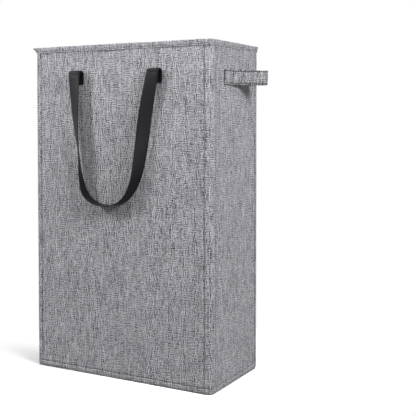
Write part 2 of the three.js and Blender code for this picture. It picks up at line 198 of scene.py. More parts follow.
def weave(tree, spacing, slub, dark, light, contrast):
    """A plain weave over the piece's UVs, which are in millimetres: (colour, height). Each yarn
    turns lighter and darker along its length and differs, more in some patches than in others,
    from the yarns beside it. Each crossing has its own fleck."""
    place = add(tree, "UVMap", uv_map="cloth_mm")
    apart = add(tree, "SeparateXYZ", {0: place})
    patches = add(tree, "SeparateColor", {
        0: add(tree, "TexNoise", {"Vector": place, "Scale": 0.12, "Detail": 2.0}).outputs[1]})
    tone = 0.0
    indexes, rounds = [], []
    # The warp, then the weft: the ways across and along the yarn, its spacing, the length of
    # its slubs, how much they show and how much it differs from the yarns beside it.
    for across, along, pitch, length, slubby, striped in (
            (0, 1, WARP_APART * spacing, slub, 6.5, 14.0), (1, 0, spacing, 0.3 * slub, 3.2, 12.0)):
        count = add(tree, "Math", {0: apart.outputs[across], 1: pitch}, operation="DIVIDE")
        index = add(tree, "Math", {0: count}, operation="FLOOR")
        spread = add(tree, "CombineXYZ", {
            0: add(tree, "Math", {0: index, 1: 3.7}, operation="MULTIPLY"),
            1: add(tree, "Math", {0: apart.outputs[along], 1: length}, operation="DIVIDE"),
            2: 40.0 * across})
        slubs = add(tree, "TexNoise", {"Vector": spread, "Scale": 1.0, "Detail": 4.0, "Roughness": 0.7})
        tone = add(tree, "Math", {0: slubs, 1: slubby, 2: tone}, operation="MULTIPLY_ADD")
        every_second = add(tree, "Math", {
            0: add(tree, "Math", {0: index, 1: 1.0}, operation="PINGPONG"), 1: 0.5}, operation="SUBTRACT")
        patch = add(tree, "Math", {0: patches.outputs[across], 1: 0.48}, operation="SUBTRACT")
        stripes = add(tree, "Math", {0: every_second, 1: patch}, operation="MULTIPLY")
        tone = add(tree, "Math", {0: stripes, 1: striped, 2: tone}, operation="MULTIPLY_ADD")
        wave = add(tree, "Math", {
            0: add(tree, "Math", {0: count, 1: math.pi}, operation="MULTIPLY")}, operation="SINE")
        indexes.append(index)
        rounds.append(add(tree, "Math", {0: wave}, operation="ABSOLUTE"))
    crossing = add(tree, "CombineXYZ", {0: indexes[0], 1: indexes[1]})
    fleck = add(tree, "TexWhiteNoise", {"Vector": crossing}, noise_dimensions="2D")
    tone = add(tree, "Math", {0: fleck, 1: 1.5, 2: tone}, operation="MULTIPLY_ADD")
    middle, half = 5.6, 0.5 / contrast
    shade = add(tree, "MapRange", {0: tone, 1: middle - half, 2: middle + half})
    colour = add(tree, "Mix", {0: shade, 6: dark, 7: light}, data_type="RGBA").outputs[2]
    over = add(tree, "Math", {
        0: add(tree, "Math", {0: indexes[0], 1: indexes[1]}), 1: 1.0}, operation="PINGPONG")
    return colour, add(tree, "Mix", {0: over, 2: rounds[1], 3: rounds[0]})


def cloth_material(name, spacing, slub, dark, light, contrast, bump_mm, roughness, sheen):
    """Woven cloth: yarn colours from the weave, its threads as bump, and a dry soft sheen."""
    made, tree = new_material(name)
    colour, height = weave(tree, spacing, slub, linear(dark), linear(light), contrast)
    relief = add(tree, "Bump", {"Height": height, "Distance": bump_mm * MM, "Strength": 0.6})
    shader = add(tree, "BsdfPrincipled", {
        "Base Color": colour, "Normal": relief, "Roughness": roughness,
        "Sheen Weight": sheen, "Sheen Roughness": 0.5, "Specular IOR Level": 0.3})
    add(tree, "OutputMaterial", {"Surface": shader})
    return made


def coloured(tree, share, dark, light, inputs):
    """Ends a material with a surface whose colour runs from dark to light with share."""
    tint = add(tree, "Mix", {0: share, 6: linear(dark), 7: linear(light)}, data_type="RGBA")
    shader = add(tree, "BsdfPrincipled", {"Base Color": tint.outputs[2], **inputs})
    add(tree, "OutputMaterial", {"Surface": shader})


# Slub-yarn plain weave: matt, with short light and dark flecks that run along both yarns.
linen_weave = cloth_material(
    "linen_look_slub_weave", YARN_MM, SLUB_MM, "#333237", "#D8D6DC", 0.23, 0.3, 0.92, 0.1)
# Plain lining cloth: finer and evenly light grey.
lining_weave = cloth_material(
    "lining_plain_weave", 0.8, 8.0, "#9C9C9E", "#BFBFC1", 0.2, 0.12, 0.9, 0.1)

# Sewing thread: spun polyester, a dull dark grey, kept dark so that it also gives painted
# shade along the stitch lines.
sewing_thread, tree = new_material("spun_polyester_thread")
grain = add(tree, "TexNoise", {
    "Vector": add(tree, "TexCoord").outputs["Object"], "Scale": 900.0, "Detail": 2.0})
coloured(tree, grain, "#2B2A2F", "#4C4B51", {"Roughness": 0.75})


def object_from(name, points, faces, uvs, materials, face_materials=None, sharp=40):
    """A closed smooth-shaded object from points in millimetres, with one UV in mm per face
    corner. Its faces are turned outwards."""
    mesh = bpy.data.meshes.new(name)
    mesh.from_pydata([tuple(float(c) * MM for c in p) for p in points], [], faces)
    layer = mesh.uv_layers.new(name="cloth_mm")
    layer.data.foreach_set("uv", np.array(uvs, np.float32).ravel())
    for material in materials:
        mesh.materials.append(material)
    if face_materials is not None:
        mesh.polygons.foreach_set("material_index", face_materials)
    mesh.calc_loop_triangles()
    corners = np.array([v.co for v in mesh.vertices])[np.array([t.vertices for t in mesh.loop_triangles])]
    if np.einsum("ij,ij->i", corners[:, 0], np.cross(corners[:, 1], corners[:, 2])).sum() < 0:
        mesh.flip_normals()
    mesh.shade_smooth()
    mesh.set_sharp_from_angle(angle=math.radians(sharp))
    mesh.validate()
    made = bpy.data.objects.new(name, mesh)
    bpy.context.scene.collection.objects.link(made)
    return made


def shell(name, surface, us, vs, thickness, materials, under=None, sharp=40):
    """A closed piece of cloth. surface(u, v) is its outer face, with v to the left of u when
    seen from outside; the inner face is under(u, v), or lies a thickness behind the outer one,
    and takes the last material."""
    rows, columns = len(vs), len(us)
    outer = np.array([[surface(u, v) for u in us] for v in vs], float)
    if under:
        inner = np.array([[under(u, v) for u in us] for v in vs], float)
    else:
        normal = np.cross(np.gradient(outer, axis=1), np.gradient(outer, axis=0))
        inner = outer - thickness * normal / np.linalg.norm(normal, axis=2, keepdims=True)
    points = np.concatenate([outer.reshape(-1, 3), inner.reshape(-1, 3)])
    back = rows * columns
    faces, uvs, kinds = [], [], []
    flat = [(u, v) for v in vs for u in us]
    inside = len(materials) - 1

    def face(kind, *corners):
        faces.append(corners)
        uvs.extend(flat[c % back] for c in corners)
        kinds.append(kind)

    def rim(one, other):
        face(0, one, back + one, back + other, other)

    for row in range(rows - 1):
        for column in range(columns - 1):
            a = row * columns + column
            b, c, d = a + 1, a + columns + 1, a + columns
            face(0, a, b, c, d)
            face(inside, back + d, back + c, back + b, back + a)
    for column in range(columns - 1):
        high = (rows - 1) * columns + column
        rim(column, column + 1)
        rim(high + 1, high)
    for left in range(0, back - columns, columns):
        rim(left + columns, left)
        rim(left + columns - 1, left + 2 * columns - 1)
    return object_from(name, points, faces, uvs, materials, kinds, sharp)


def spaced(lines, least):
    """The lines in order, without any that lies too near to the one before it."""
    kept = []
    for at in sorted(lines):
        if not kept or at - kept[-1] > least:
            kept.append(at)
    return kept


def stations(low, high, step, dense=(), reach=6.0):
    """Grid lines from low to high, closer together around each dense place."""
    lines = set(np.linspace(low, high, max(2, round((high - low) / step) + 1)).round(3))
    for centre in dense:
        for offset in (0, 0.5, 1.0, 1.7, 2.6, 4.0, reach):
            for at in (centre - offset, centre + offset):
                if low < at < high:
                    lines.add(round(at, 3))
    return spaced(lines, 0.3)


def wall_plan(along):
    """Place and outward direction on the front wall's outline, along mm to the right of its
    middle as seen from outside."""
    side, far = (1 if along >= 0 else -1), abs(along)
    if far <= STRAIGHT:
        return np.array([side * far, -DEPTH / 2]), np.array([0.0, -1.0])
    if far <= STRAIGHT + TURN:
        angle = (far - STRAIGHT) / CORNER_RADIUS
        out = np.array([side * math.sin(angle), -math.cos(angle)])
        return np.array([side * STRAIGHT, CORNER_RADIUS - DEPTH / 2]) + CORNER_RADIUS * out, out
    return (np.array([side * WIDTH / 2, CORNER_RADIUS - DEPTH / 2 + far - STRAIGHT - TURN]),
            np.array([float(side), 0.0]))


def bell(distance, width):
    """A soft bump: 1 at no distance, and nearly 0 beyond twice its width."""
    return math.exp(-(distance / width) ** 2)


def ramp(value):
    """The value, held between 0 and 1."""
    return min(1.0, max(0.0, value))


def ripple(a, b, seed):
    """A slow uneven wave from -1 to 1 over two lengths in millimetres."""
    return (math.sin(a / 71 + seed) * math.cos(b / 113 + 1.7 * seed)
            + 0.6 * math.sin(a / 37 - b / 59 + 2.3 * seed)
            + 0.3 * math.sin(a / 17 + b / 29 + 3.1 * seed)) / 1.9


WALL_WAVE = 0.35
SEAM_GROOVE = 1.6
FOOT_GROOVE = 0.6
FOOT_ROLL = 2.2


def foot_shape(z, groove_width):
    """How far the cloth stands out at its foot: a groove and two swells at the bottom seam, and
    the edge turned under below them."""
    roll = max(0.0, WALL_FOOT + FOOT_ROLL - z) / FOOT_ROLL
    return (0.35 * bell(z - BOTTOM_SEAM + 4, 3.2) + 0.2 * bell(z - BOTTOM_SEAM - 4, 3)
            - FOOT_GROOVE * bell(z - BOTTOM_SEAM, groove_width)
            - 1.9 * (1 - math.sqrt(max(0.0, 1 - roll * roll))))


def wall_face(turn, seed):
    """The outer face of a stiff wall's cloth; turn is 1 at the front and -1 at the rear. The
    cloth is held flat at the hem and foot, swells beside its upright seams and puckers along
    their stitches."""
    def place(along, z):
        at, out = wall_plan(along)
        from_seam = abs(along) - SEAM_AT
        free = ramp((HEM_FOOT - 4 - z) / 12) * ramp((z - 4) / 14)
        lift = WALL_WAVE * (1 + ripple(along, z, seed)) * free * min(1.0, abs(from_seam) / 20 + 0.2)
        lift += free * (0.5 * bell(from_seam - 4.5, 3.0) + 0.35 * bell(from_seam + 4.0, 3.0))
        lift += free * 0.18 * bell(from_seam, 5) * math.sin(z / 1.15 + 2 * math.sin(z / 9 + seed))
        at = at + out * (lift - SEAM_GROOVE * bell(from_seam, 0.8) + foot_shape(z, 0.8))
        return turn * at[0], turn * at[1], z
    return place


def ring_faces(levels, sides, first=0, clockwise=False):
    """Faces of a closed tube of rings of points, capped at both ends. The rings run
    counterclockwise as seen from the last one, or else clockwise."""
    faces = []
    for low in range(first, first + (levels - 1) * sides, sides):
        for side in range(sides):
            a, b = low + side, low + (side + 1) % sides
            faces.append((a, a + sides, b + sides, b) if clockwise else (a, b, b + sides, a + sides))
    last = first + (levels - 1) * sides
    near, far = tuple(range(first, first + sides)), tuple(range(last, last + sides))
    return faces + ([near, far[::-1]] if clockwise else [near[::-1], far])


def stitches(name, rows, radius=0.32, length=2.7):
    """One piece of sewing thread: a short round bar for each (place, along, out), in mm."""
    sides = 6
    # Each bar's rings: share of its length, girth, and how deep it sinks in, in radii.
    rings = ((-0.5, 0.25, 0.5), (-0.34, 0.9, 0.1), (0, 1, 0), (0.34, 0.9, 0.1), (0.5, 0.25, 0.5))
    points, faces = [], []
    for place, along, out in rows:
        along = np.array(along, float) / np.linalg.norm(along)
        across = np.cross(along, out)
        across /= np.linalg.norm(across)
        lift = np.cross(across, along)
        faces += ring_faces(len(rings), sides, len(points))
        for share, girth, sink in rings:
            centre = place + along * share * length + lift * radius * (0.45 - sink)
            for angle in 2 * math.pi * np.arange(sides) / sides:
                points.append(centre + radius * girth * (across * math.cos(angle) + lift * math.sin(angle)))
    uvs = [(0.0, 0.0)] * sum(len(f) for f in faces)
    return object_from(name, points, faces, uvs, [sewing_thread], sharp=80)


STITCH_PITCH = 3.5


def row_on(surface, fixed, low, high, upright, lift=0.0):
    """Places for stitches on a surface, along v at u = fixed where upright, and else along u."""
    count = max(1, round((high - low) / STITCH_PITCH))
    found = []
    for index in range(count):
        at = low + (high - low) * (index + 0.5) / count
        u, v = (fixed, at) if upright else (at, fixed)
        here = np.array(surface(u, v))
        du = np.array(surface(u + 0.4, v)) - np.array(surface(u - 0.4, v))
        dv = np.array(surface(u, v + 0.4)) - np.array(surface(u, v - 0.4))
        out = np.cross(du, dv)
        out /= np.linalg.norm(out)
        found.append((here + out * lift, dv if upright else du, out))
    return found


wall_columns = spaced(stations(-WALL_HALF, WALL_HALF, 7.0, (-SEAM_AT, SEAM_AT)) + [
    side * (STRAIGHT + TURN * step / 6) for side in (1, -1) for step in range(7)], 0.25)
wall_rows = sorted(stations(WALL_FOOT, WALL_TOP, 3.2, (BOTTOM_SEAM,))
                   + [WALL_FOOT + rise for rise in (0.3, 0.7, 1.2, 1.7)])

for side, turn, seed in (("front", 1, 0.4), ("rear", -1, 2.1)):
    face = wall_face(turn, seed)
    outer_cloth = shell(f"{side}_outer_cloth", face, wall_columns, wall_rows, PANEL_CLOTH, [linen_weave])
    seam_rows = [row for at in (-SEAM_AT, SEAM_AT)
                 for row in row_on(face, at, BOTTOM_SEAM + 2, HEM_FOOT, True, 0.12)]
    seam_rows += row_on(face, BOTTOM_SEAM, 1 - WALL_HALF, WALL_HALF - 1, False, 0.12)
    seam_thread = stitches(f"{side}_wall_stitching", seam_rows)
    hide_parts(f"{side}_panel")
    for piece in (outer_cloth, seam_thread):
        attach(piece, f"{side}_wall")


# Inside of the stiff walls: a pressed greyboard sheet, a light grey lining cloth over it, and
# at each end a lining pocket that holds a glass-fibre rod upright in the corner.
LINING_CLOTH = 0.6
LINING_FACE = 81.5
LINING_TOP = 549.6
SLEEVE_TOP = 549.7


def lining_face(turn, seed):
    """The inner face of a stiff wall's lining, seen from inside the hamper."""
    def place(across, z):
        free = min(1.0, (SEAM_AT - abs(across)) / 14, max(0.0, z - 8) / 20, max(0.0, WALL_TOP - z) / 20)
        y = LINING_FACE - 0.5 * free * (1 + ripple(across, z, seed))
        y += 0.25 * bell(z - 12, 1.2)
        return -turn * across, -turn * y, z
    return place


# The rod pocket's cloth in plan, as its distances in from the hamper's corner along X and Y,
# from the side seam round the rod to the wall's seam.
SLEEVE_IN = ((1.2, 13.0), (3.0, 13.0), (5.2, 12.9), (8.3, 11.1), (10.4, 8.6), (12.2, 6.3), (13.0, 4.6),
             (13.0, 2.6), (13.0, 1.1))


def lengths_along(line):
    """The distance of each point of a line from its first, along the line."""
    steps = np.linalg.norm(np.diff(np.array(line, float), axis=0), axis=1)
    return np.concatenate([[0], np.cumsum(steps)])


def follow(line, share):
    """The point at a share of the length of a line of points."""
    reached = lengths_along(line)
    return np.array([np.interp(share * reached[-1], reached, along) for along in np.array(line, float).T])


def smooth_line(points, count):
    """Points spaced evenly on a centripetal Catmull-Rom curve through the given ones."""
    given = [np.array(p, float) for p in points]
    given = [2 * given[0] - given[1]] + given + [2 * given[-1] - given[-2]]
    fine = []
    for at in range(1, len(given) - 2):
        a, b, c, d = given[at - 1:at + 3]
        knots = [0.0]
        for near, far in ((a, b), (b, c), (c, d)):
            knots.append(knots[-1] + max(1e-6, np.linalg.norm(far - near)) ** 0.5)
        for share in np.arange(24) / 24:
            t = knots[1] + share * (knots[2] - knots[1])
            row = [a, b, c, d]
            for spans in (((0, 1), (1, 2), (2, 3)), ((0, 2), (1, 3)), ((1, 2),)):
                row = [((knots[high] - t) * p + (t - knots[low]) * q) / (knots[high] - knots[low])
                       for (low, high), p, q in zip(spans, row, row[1:])]
            fine.append(row[0])
    fine.append(given[-2])
    return [follow(fine, share) for share in np.linspace(0, 1, count)]


# Glass-fibre rod: pultruded and off-white, with long faint fibre streaks and a slight gloss.
rod_finish, tree = new_material("pultruded_glass_fibre")
place = add(tree, "Mapping", {0: add(tree, "TexCoord").outputs["Object"], "Scale": (2500, 2500, 12)})
fibres = add(tree, "TexNoise", {"Vector": place, "Scale": 1.0, "Detail": 3.0})
relief = add(tree, "Bump", {"Height": fibres, "Distance": 0.00006})
coloured(tree, fibres, "#C9C8BE", "#E4E2D8", {"Normal": relief, "Roughness": 0.35, "IOR": 1.52})

# Greyboard: pressed from waste paper, dull brown-grey with fine pulp specks.
greyboard, tree = new_material("pressed_greyboard")
place = add(tree, "TexCoord").outputs["Object"]
pulp = add(tree, "TexNoise", {"Vector": place, "Scale": 1400.0, "Detail": 4.0, "Roughness": 0.7})
cloud = add(tree, "TexNoise", {"Vector": place, "Scale": 40.0, "Detail": 3.0})
speck = add(tree, "Mix", {0: pulp, 6: linear("#7F7565"), 7: linear("#B3A893")}, data_type="RGBA")
tint = add(tree, "Mix", {0: cloud, 6: speck.outputs[2], 7: linear("#9A8F7C")}, data_type="RGBA")
relief = add(tree, "Bump", {"Height": pulp, "Distance": 0.0002, "Strength": 0.5})
shader = add(tree, "BsdfPrincipled", {"Base Color": tint.outputs[2], "Normal": relief, "Roughness": 0.88})
add(tree, "OutputMaterial", {"Surface": shader})

lining_columns = stations(-SEAM_AT, SEAM_AT, 9.0)
lining_rows = stations(WALL_FOOT, LINING_TOP, 9.0, (12,))
sleeve_rows = stations(WALL_FOOT, SLEEVE_TOP, 14.0)
sleeve_shares = list(np.linspace(0, 1, 15))
for side, turn, seed in (("front", 1, 1.2), ("rear", -1, 4.0)):
    for node, finish in (("board", greyboard), ("right_rod", rod_finish), ("left_rod", rod_finish)):
        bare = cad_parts[f"{side}_{node}"].data.materials
        bare.clear()
        bare.append(finish)
    lining = shell(f"{side}_wall_lining", lining_face(turn, seed), lining_columns, lining_rows,
                   LINING_CLOTH, [lining_weave])
    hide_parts(f"{side}_lining")
    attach(lining, f"{side}_wall")
    for corner, mirror in (("right", 1), ("left", -1)):
        outline = smooth_line([(WIDTH / 2 - x, DEPTH / 2 - y) for x, y in SLEEVE_IN], 40)

        def pocket(share, z):
            x, y = follow(outline, share if mirror * turn < 0 else 1 - share)
            pull = 0.35 * math.sin(math.pi * share) * (ripple(3 * x, z, seed + mirror) - 0.4)
            return mirror * (x - pull), -turn * (y - pull), z
        sleeve = shell(f"{side}_{corner}_rod_sleeve", pocket, sleeve_shares, sleeve_rows,
                       LINING_CLOTH, [lining_weave])
        # The pocket runs along shares of its width; its pattern needs millimetres.
        for corner_uv in sleeve.data.uv_layers["cloth_mm"].data:
            corner_uv.uv.x *= 20.0
        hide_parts(f"{side}_{corner}_sleeve")
        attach(sleeve, f"{side}_wall")


# Rim hem: a straight strip of the outer cloth folded over all the layers of the wall and
# stitched through. Its joined ends overlap at the middle of the front wall, and a loose
# corner of it stands off at the front left.
HEM_OUT = 0.95
WALL_HEM_IN = 4.95
HEM_CLOTH = 0.8
HEM_STITCH = 2.4
HEM_ROUND = 1.6
HEM_LEAN = 0.6
HEM_GROOVE = 0.42
HEM_PUCKER = 0.22


def hem_profile(in_face):
    """The strip in section: its outer face as (out, z), up, over the rim and down again, with
    the inner side in_face behind the wall's face; its length; and the distances along it at
    which the hem has a row of points."""
    line = [(HEM_OUT, HEM_FOOT), (HEM_OUT + HEM_LEAN * 0.4, HEM_FOOT + 3)]
    for step in range(7):
        angle = math.pi / 2 * step / 6
        line.append((HEM_OUT + HEM_LEAN - HEM_ROUND * (1 - math.cos(angle)),
                     HEIGHT - HEM_ROUND * (1 - math.sin(angle))))
    for step in range(7):
        angle = math.pi / 2 * step / 6
        line.append((-in_face + HEM_ROUND * (1 - math.sin(angle)),
                     HEIGHT - HEM_ROUND * (1 - math.cos(angle))))
    line += [(-in_face, HEM_FOOT + 3), (-in_face, HEM_FOOT)]
    reached = lengths_along(line)
    length = reached[-1]
    near_stitch = {at / length for at in (0.4, 1.2, 1.8, 2.4, 3.0, 3.8, 5.0, 6.5)}
    shares = set((reached / length).round(4)) | near_stitch
    return line, length, [share * length for share in sorted(shares)]


def hem_section(profile, length, along, v, seed, sway):
    """Where v falls in a hem's section, (out, z), with the groove and puckers of its stitch
    line and a slight sway of both edges; 1 if that is outside the wall and 0 if not; and its
    share of the hem's height."""
    out_by, z = follow(profile, v / length)
    outside = 1.0 if v < 9 else 0.0
    rise = (z - HEM_FOOT) / (HEIGHT - HEM_FOOT)
    out_by -= outside * HEM_GROOVE * bell(v - HEM_STITCH, 0.55)
    puckers = math.sin(along / 1.3 + 2 * math.sin(along / 8))
    out_by += outside * HEM_PUCKER * bell(v - HEM_STITCH, 2.2) * puckers
    out_by += outside * sway * ripple(along, z, seed) * (1 - rise)
    return out_by, z - 0.35 * max(0.0, ripple(2 * along, 0, seed + 1)) * rise, outside, rise


rim_profile, rim_length, rim_rows = hem_profile(WALL_HEM_IN)
EAR_AT = -(STRAIGHT + TURN * 0.62)
EAR_WIDTH = 7.5
EAR_LEAN = np.array([-0.93, -0.37])
OVERLAP_AT = -3.0


def hem_face(turn, seed, ear, overlap):
    """The outer face of a stiff wall's hem; v is the distance along its section, and ear is how
    far its loose corner stands off."""
    def place(along, v):
        out_by, z, outside, rise = hem_section(rim_profile, rim_length, along, v, seed, 0.25)
        at, out = wall_plan(along)
        if overlap:
            lapped = 1 / (1 + math.exp((along - OVERLAP_AT) / 0.35))
            fade = bell(min(0.0, along - OVERLAP_AT), 42)
            out_by += outside * HEM_CLOTH * lapped * fade
            z -= outside * 0.9 * lapped * fade * (1 - rise)
        shift = ear * bell(along - EAR_AT, EAR_WIDTH) * max(0.0, rise - 0.05) ** 1.4
        at = at + out * out_by + EAR_LEAN * shift
        return turn * at[0], turn * at[1], z - 0.06 * shift
    return place


hem_columns = spaced(stations(-WALL_HALF, WALL_HALF, 3.5, (OVERLAP_AT,)) + [
    side * (STRAIGHT + TURN * step / 8) for side in (1, -1) for step in range(9)], 0.2)
for side, turn, seed, ear in (("front", 1, 0.8, 7.5), ("rear", -1, 3.3, 2.0)):
    face = hem_face(turn, seed, ear, side == "front")
    hem = shell(f"{side}_rim_hem", face, hem_columns, rim_rows, HEM_CLOTH, [linen_weave])
    hem_thread = stitches(f"{side}_hem_stitching", [
        row for at in (HEM_STITCH, rim_length - HEM_STITCH)
        for row in row_on(face, at, 1 - WALL_HALF, WALL_HALF - 1, False, 0.1)])
    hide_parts(f"{side}_hem")
    for piece in (hem, hem_thread):
        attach(piece, f"{side}_wall")


# Side walls: soft, the same outer cloth with the light lining inside, sewn to the stiff walls
# along both side seams. A pressed crease runs down the middle, where the wall folds inwards.
# The rim hem goes on across them.
SIDE_CLOTH = 1.6
SIDE_HALF = 72.3
SIDE_HEM_IN = 2.55
CREASE_BLEND = 4.0


def side_face(turn, seed):
    """The outer face of a side wall, along mm to the right of its crease seen from outside;
    turn is 1 at the right of the hamper and -1 at its left."""
    def place(along, z):
        edge, from_hem = SIDE_HALF - abs(along), HEM_FOOT - 5 - z
        free = min(1.0, edge / 16) * ramp(from_hem / 30) * ramp((z - 6) / 40)
        sag = 0.9 + 0.8 * math.sin(math.pi * z / HEIGHT)
        out = -sag * free + 0.9 * free * ripple(1.9 * along, z, seed)
        out += 1.1 * free * bell(along + 47, 7) * bell(z - 150, 130)
        out -= 0.8 * free * bell(along + 58, 5) * bell(z - 150, 150)
        out -= 0.25 * bell(along, 1.6) * ramp(from_hem / 30)
        out += 0.3 * bell(edge - 2.5, 2.0) * ramp(from_hem / 10)
        out += 0.2 * bell(edge, 6) * math.sin(z / 1.3 + 2 * math.sin(z / 11 + seed)) * ramp(from_hem / 10)
        out += foot_shape(z, 0.9)
        return turn * (WIDTH / 2 + out), turn * along, z
    return place


side_profile, side_length, side_hem_rows = hem_profile(SIDE_HEM_IN)


def side_hem_face(turn, seed):
    """The outer face of a side wall's hem; v is the distance along its section."""
    def place(along, v):
        out_by, z = hem_section(side_profile, side_length, along, v, seed, 0.2)[:2]
        return turn * (WIDTH / 2 + out_by), turn * along, z
    return place


def crease_blend(turn):
    """Where the rear half of a side wall starts to give way to its front half, and where it
    has given way, in metres."""
    return [(turn * WIDTH / 2 * MM, y * MM, HEIGHT / 2 * MM) for y in (CREASE_BLEND, -CREASE_BLEND)]


side_columns = stations(-SIDE_HALF, SIDE_HALF, 4.0, (0,), 5.0)
side_hem_columns = stations(-SIDE_HALF, SIDE_HALF, 2.4)
for side, turn, seed in (("right", 1, 0.9), ("left", -1, 5.2)):
    crease_from, crease_to = crease_blend(turn)
    face = side_face(turn, seed)
    side_cloth = shell(f"{side}_side_cloth", face, side_columns, wall_rows, SIDE_CLOTH,
                       [linen_weave, lining_weave])
    hem_at = side_hem_face(turn, seed)
    side_hem = shell(f"{side}_rim_hem", hem_at, side_hem_columns, side_hem_rows, HEM_CLOTH, [linen_weave])
    side_thread_rows = []
    for surface, at, lift in ((hem_at, HEM_STITCH, 0.1), (hem_at, side_length - HEM_STITCH, 0.1),
                              (face, BOTTOM_SEAM, 0.12)):
        side_thread_rows += row_on(surface, at, 1 - SIDE_HALF, SIDE_HALF - 1, False, lift)
    for at in (1.2 - SIDE_HALF, SIDE_HALF - 1.2):
        side_thread_rows += row_on(face, at, BOTTOM_SEAM + 2, HEM_FOOT, True, 0.1)
    side_thread = stitches(f"{side}_side_stitching", side_thread_rows)
    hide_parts(f"{side}_rear_gusset", f"{side}_front_gusset")
    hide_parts(f"{side}_rear_hem", f"{side}_front_hem")
    for piece in (side_cloth, side_hem, side_thread):
        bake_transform(piece)
        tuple(crease_from)
        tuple(crease_to)


# Bottom: one layer of the outer cloth, sewn to the foot of all four walls. The loose floor
# board lies on it, greyboard wrapped in the lining cloth, and it swings up against the rear
# wall when the hamper is folded flat.
FLOOR_CLOTH = 1.2
BOARD_HALF = 162.5
BOARD_REAR = 81.0
BOARD_FRONT = 79.1
BOARD_FOOT = 1.5
BOARD_TOP = 4.5
BOARD_CORNER = 4.0
BOARD_EDGE = 1.3


def rounded_ring(half_x, rear, front, radius, steps=6):
    """The outline of a rounded rectangle in plan, counterclockwise from above."""
    right, far, near = half_x - radius, rear - radius, radius - front
    ring = []
    for quarter, (x, y) in enumerate(((right, far), (-right, far), (-right, near), (right, near))):
        for step in range(steps + 1):
            angle = math.pi / 2 * (quarter + step / steps)
            ring.append((x + radius * math.cos(angle), y + radius * math.sin(angle)))
    return ring


def slab(name, half_x, rear, front, radius, section, materials):
    """A flat closed piece with a rounded outline. section lists (inset, z) from the middle of
    its underside round the edge to the middle of its top."""
    points = []
    for inset, z in section:
        ring = rounded_ring(half_x - inset, rear - inset, front - inset, max(0.2, radius - inset))
        points += [(x, y, z) for x, y in ring]
    sides, first = len(ring), len(points)
    # The caps are fans of triangles round a middle point each.
    *faces, _, _ = ring_faces(len(section), sides)
    points += [tuple(np.mean(points[:sides], axis=0)), tuple(np.mean(points[-sides:], axis=0))]
    for side in range(sides):
        following = (side + 1) % sides
        faces += [(first, following, side), (first + 1, first - sides + side, first - sides + following)]
    uvs = [points[c][:2] for f in faces for c in f]
    return object_from(name, points, faces, uvs, materials)


bottom_cloth = slab(
    "bottom_cloth", WIDTH / 2 - 0.6, DEPTH / 2 - 0.6, DEPTH / 2 - 0.6, CORNER_RADIUS,
    [(60, 0.0), (20, 0.0), (1.2, 0.0), (0.3, 0.3), (0, FLOOR_CLOTH / 2), (0.3, 0.9), (1.2, FLOOR_CLOTH),
     (20, FLOOR_CLOTH), (60, FLOOR_CLOTH)], [linen_weave])
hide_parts("floor_cloth")
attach(bottom_cloth, "rear_wall")
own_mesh(bottom_cloth)

half_board = (BOARD_FOOT + BOARD_TOP) / 2
board_section = [(60, BOARD_FOOT), (14, BOARD_FOOT), (BOARD_EDGE, BOARD_FOOT)]
for step in range(1, 6):
    angle = math.pi * step / 6
    board_section.append((BOARD_EDGE * (1 - math.sin(angle)),
                          half_board - (BOARD_TOP - BOARD_FOOT) / 2 * math.cos(angle)))
board_section += [(BOARD_EDGE, BOARD_TOP), (6, BOARD_TOP + 0.05), (14, BOARD_TOP), (30, BOARD_TOP),
                  (60, BOARD_TOP)]
floor_board = slab("wrapped_floor_board", BOARD_HALF, BOARD_REAR, BOARD_FRONT, BOARD_CORNER,
                   board_section, [lining_weave])
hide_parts("floor_board")
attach(floor_board, "floor_board")


# Handles: one length of charcoal polyester webbing each. It comes out of the wall, runs up,
# folds over and hangs down in front; its legs draw together and turn edge-on to the wall at
# the bottom of the loop. The hanging part swings with the handle.
WEBBING_WIDTH = 22.5
WEBBING_THICK = 1.8
HANDLE_LEFT = 80.0
HANDLE_RIGHT = 76.0
FOLD_RADIUS = 6.0
FOLD_HEIGHT = 510.1
HANDLE_BOTTOM = 291.5
LOWEST_LEFT = 14.0
TAB_FOOT = 494.0
TAB_FACE = 86.7
STRAP_FACE = TAB_FACE + 2 * FOLD_RADIUS
LOWEST_FACE = 97.65
LEG_DROPS = (0, 0.31, 0.6, 0.8, 0.92, 0.98)
LEFT_SPREADS = (1, 0.98, 0.9, 0.835, 0.72, 0.5)
RIGHT_SPREADS = (1, 0.82, 0.69, 0.555, 0.36, 0.12)
LEG_TWISTS = (0, 0.24, 0.45, 0.67, 0.93, 1)
STRAP_STATIONS = 120
TAB_OVERLAP = 6
FOLD_STEPS = 36
FOLD_PRESS = 0.7
FOLD_CREASE = math.radians(174)
FOLD_BLEND = (88.6, 96.8)

# Webbing: narrow woven polyester, nearly black, with a fine rib across it, a flat selvedge
# along both edges and a slight gloss. The rib is about 0.7 mm and is drawn at 1.2 mm.
RIB_MM = 1.2
END_MM = 1.6
webbing, tree = new_material("woven_polyester_webbing")
place = add(tree, "SeparateXYZ", {0: add(tree, "UVMap", uv_map="cloth_mm")})
rib_turn = add(tree, "Math", {0: place.outputs[1], 1: 2 * math.pi / RIB_MM}, operation="MULTIPLY")
end_turn = add(tree, "Math", {0: place.outputs[0], 1: 2 * math.pi / END_MM}, operation="MULTIPLY")
rib = add(tree, "Math", {0: rib_turn}, operation="SINE")
end = add(tree, "Math", {0: end_turn}, operation="SINE")
crossed = add(tree, "Math", {0: rib, 1: end}, operation="MULTIPLY")
raised = add(tree, "Math", {0: crossed, 1: 0.4, 2: rib}, operation="MULTIPLY_ADD")
fuzz = add(tree, "TexNoise", {"Vector": add(tree, "UVMap", uv_map="cloth_mm"), "Scale": 0.9, "Detail": 4.0})
relief = add(tree, "Bump", {"Height": raised, "Distance": 0.00008, "Strength": 0.6})
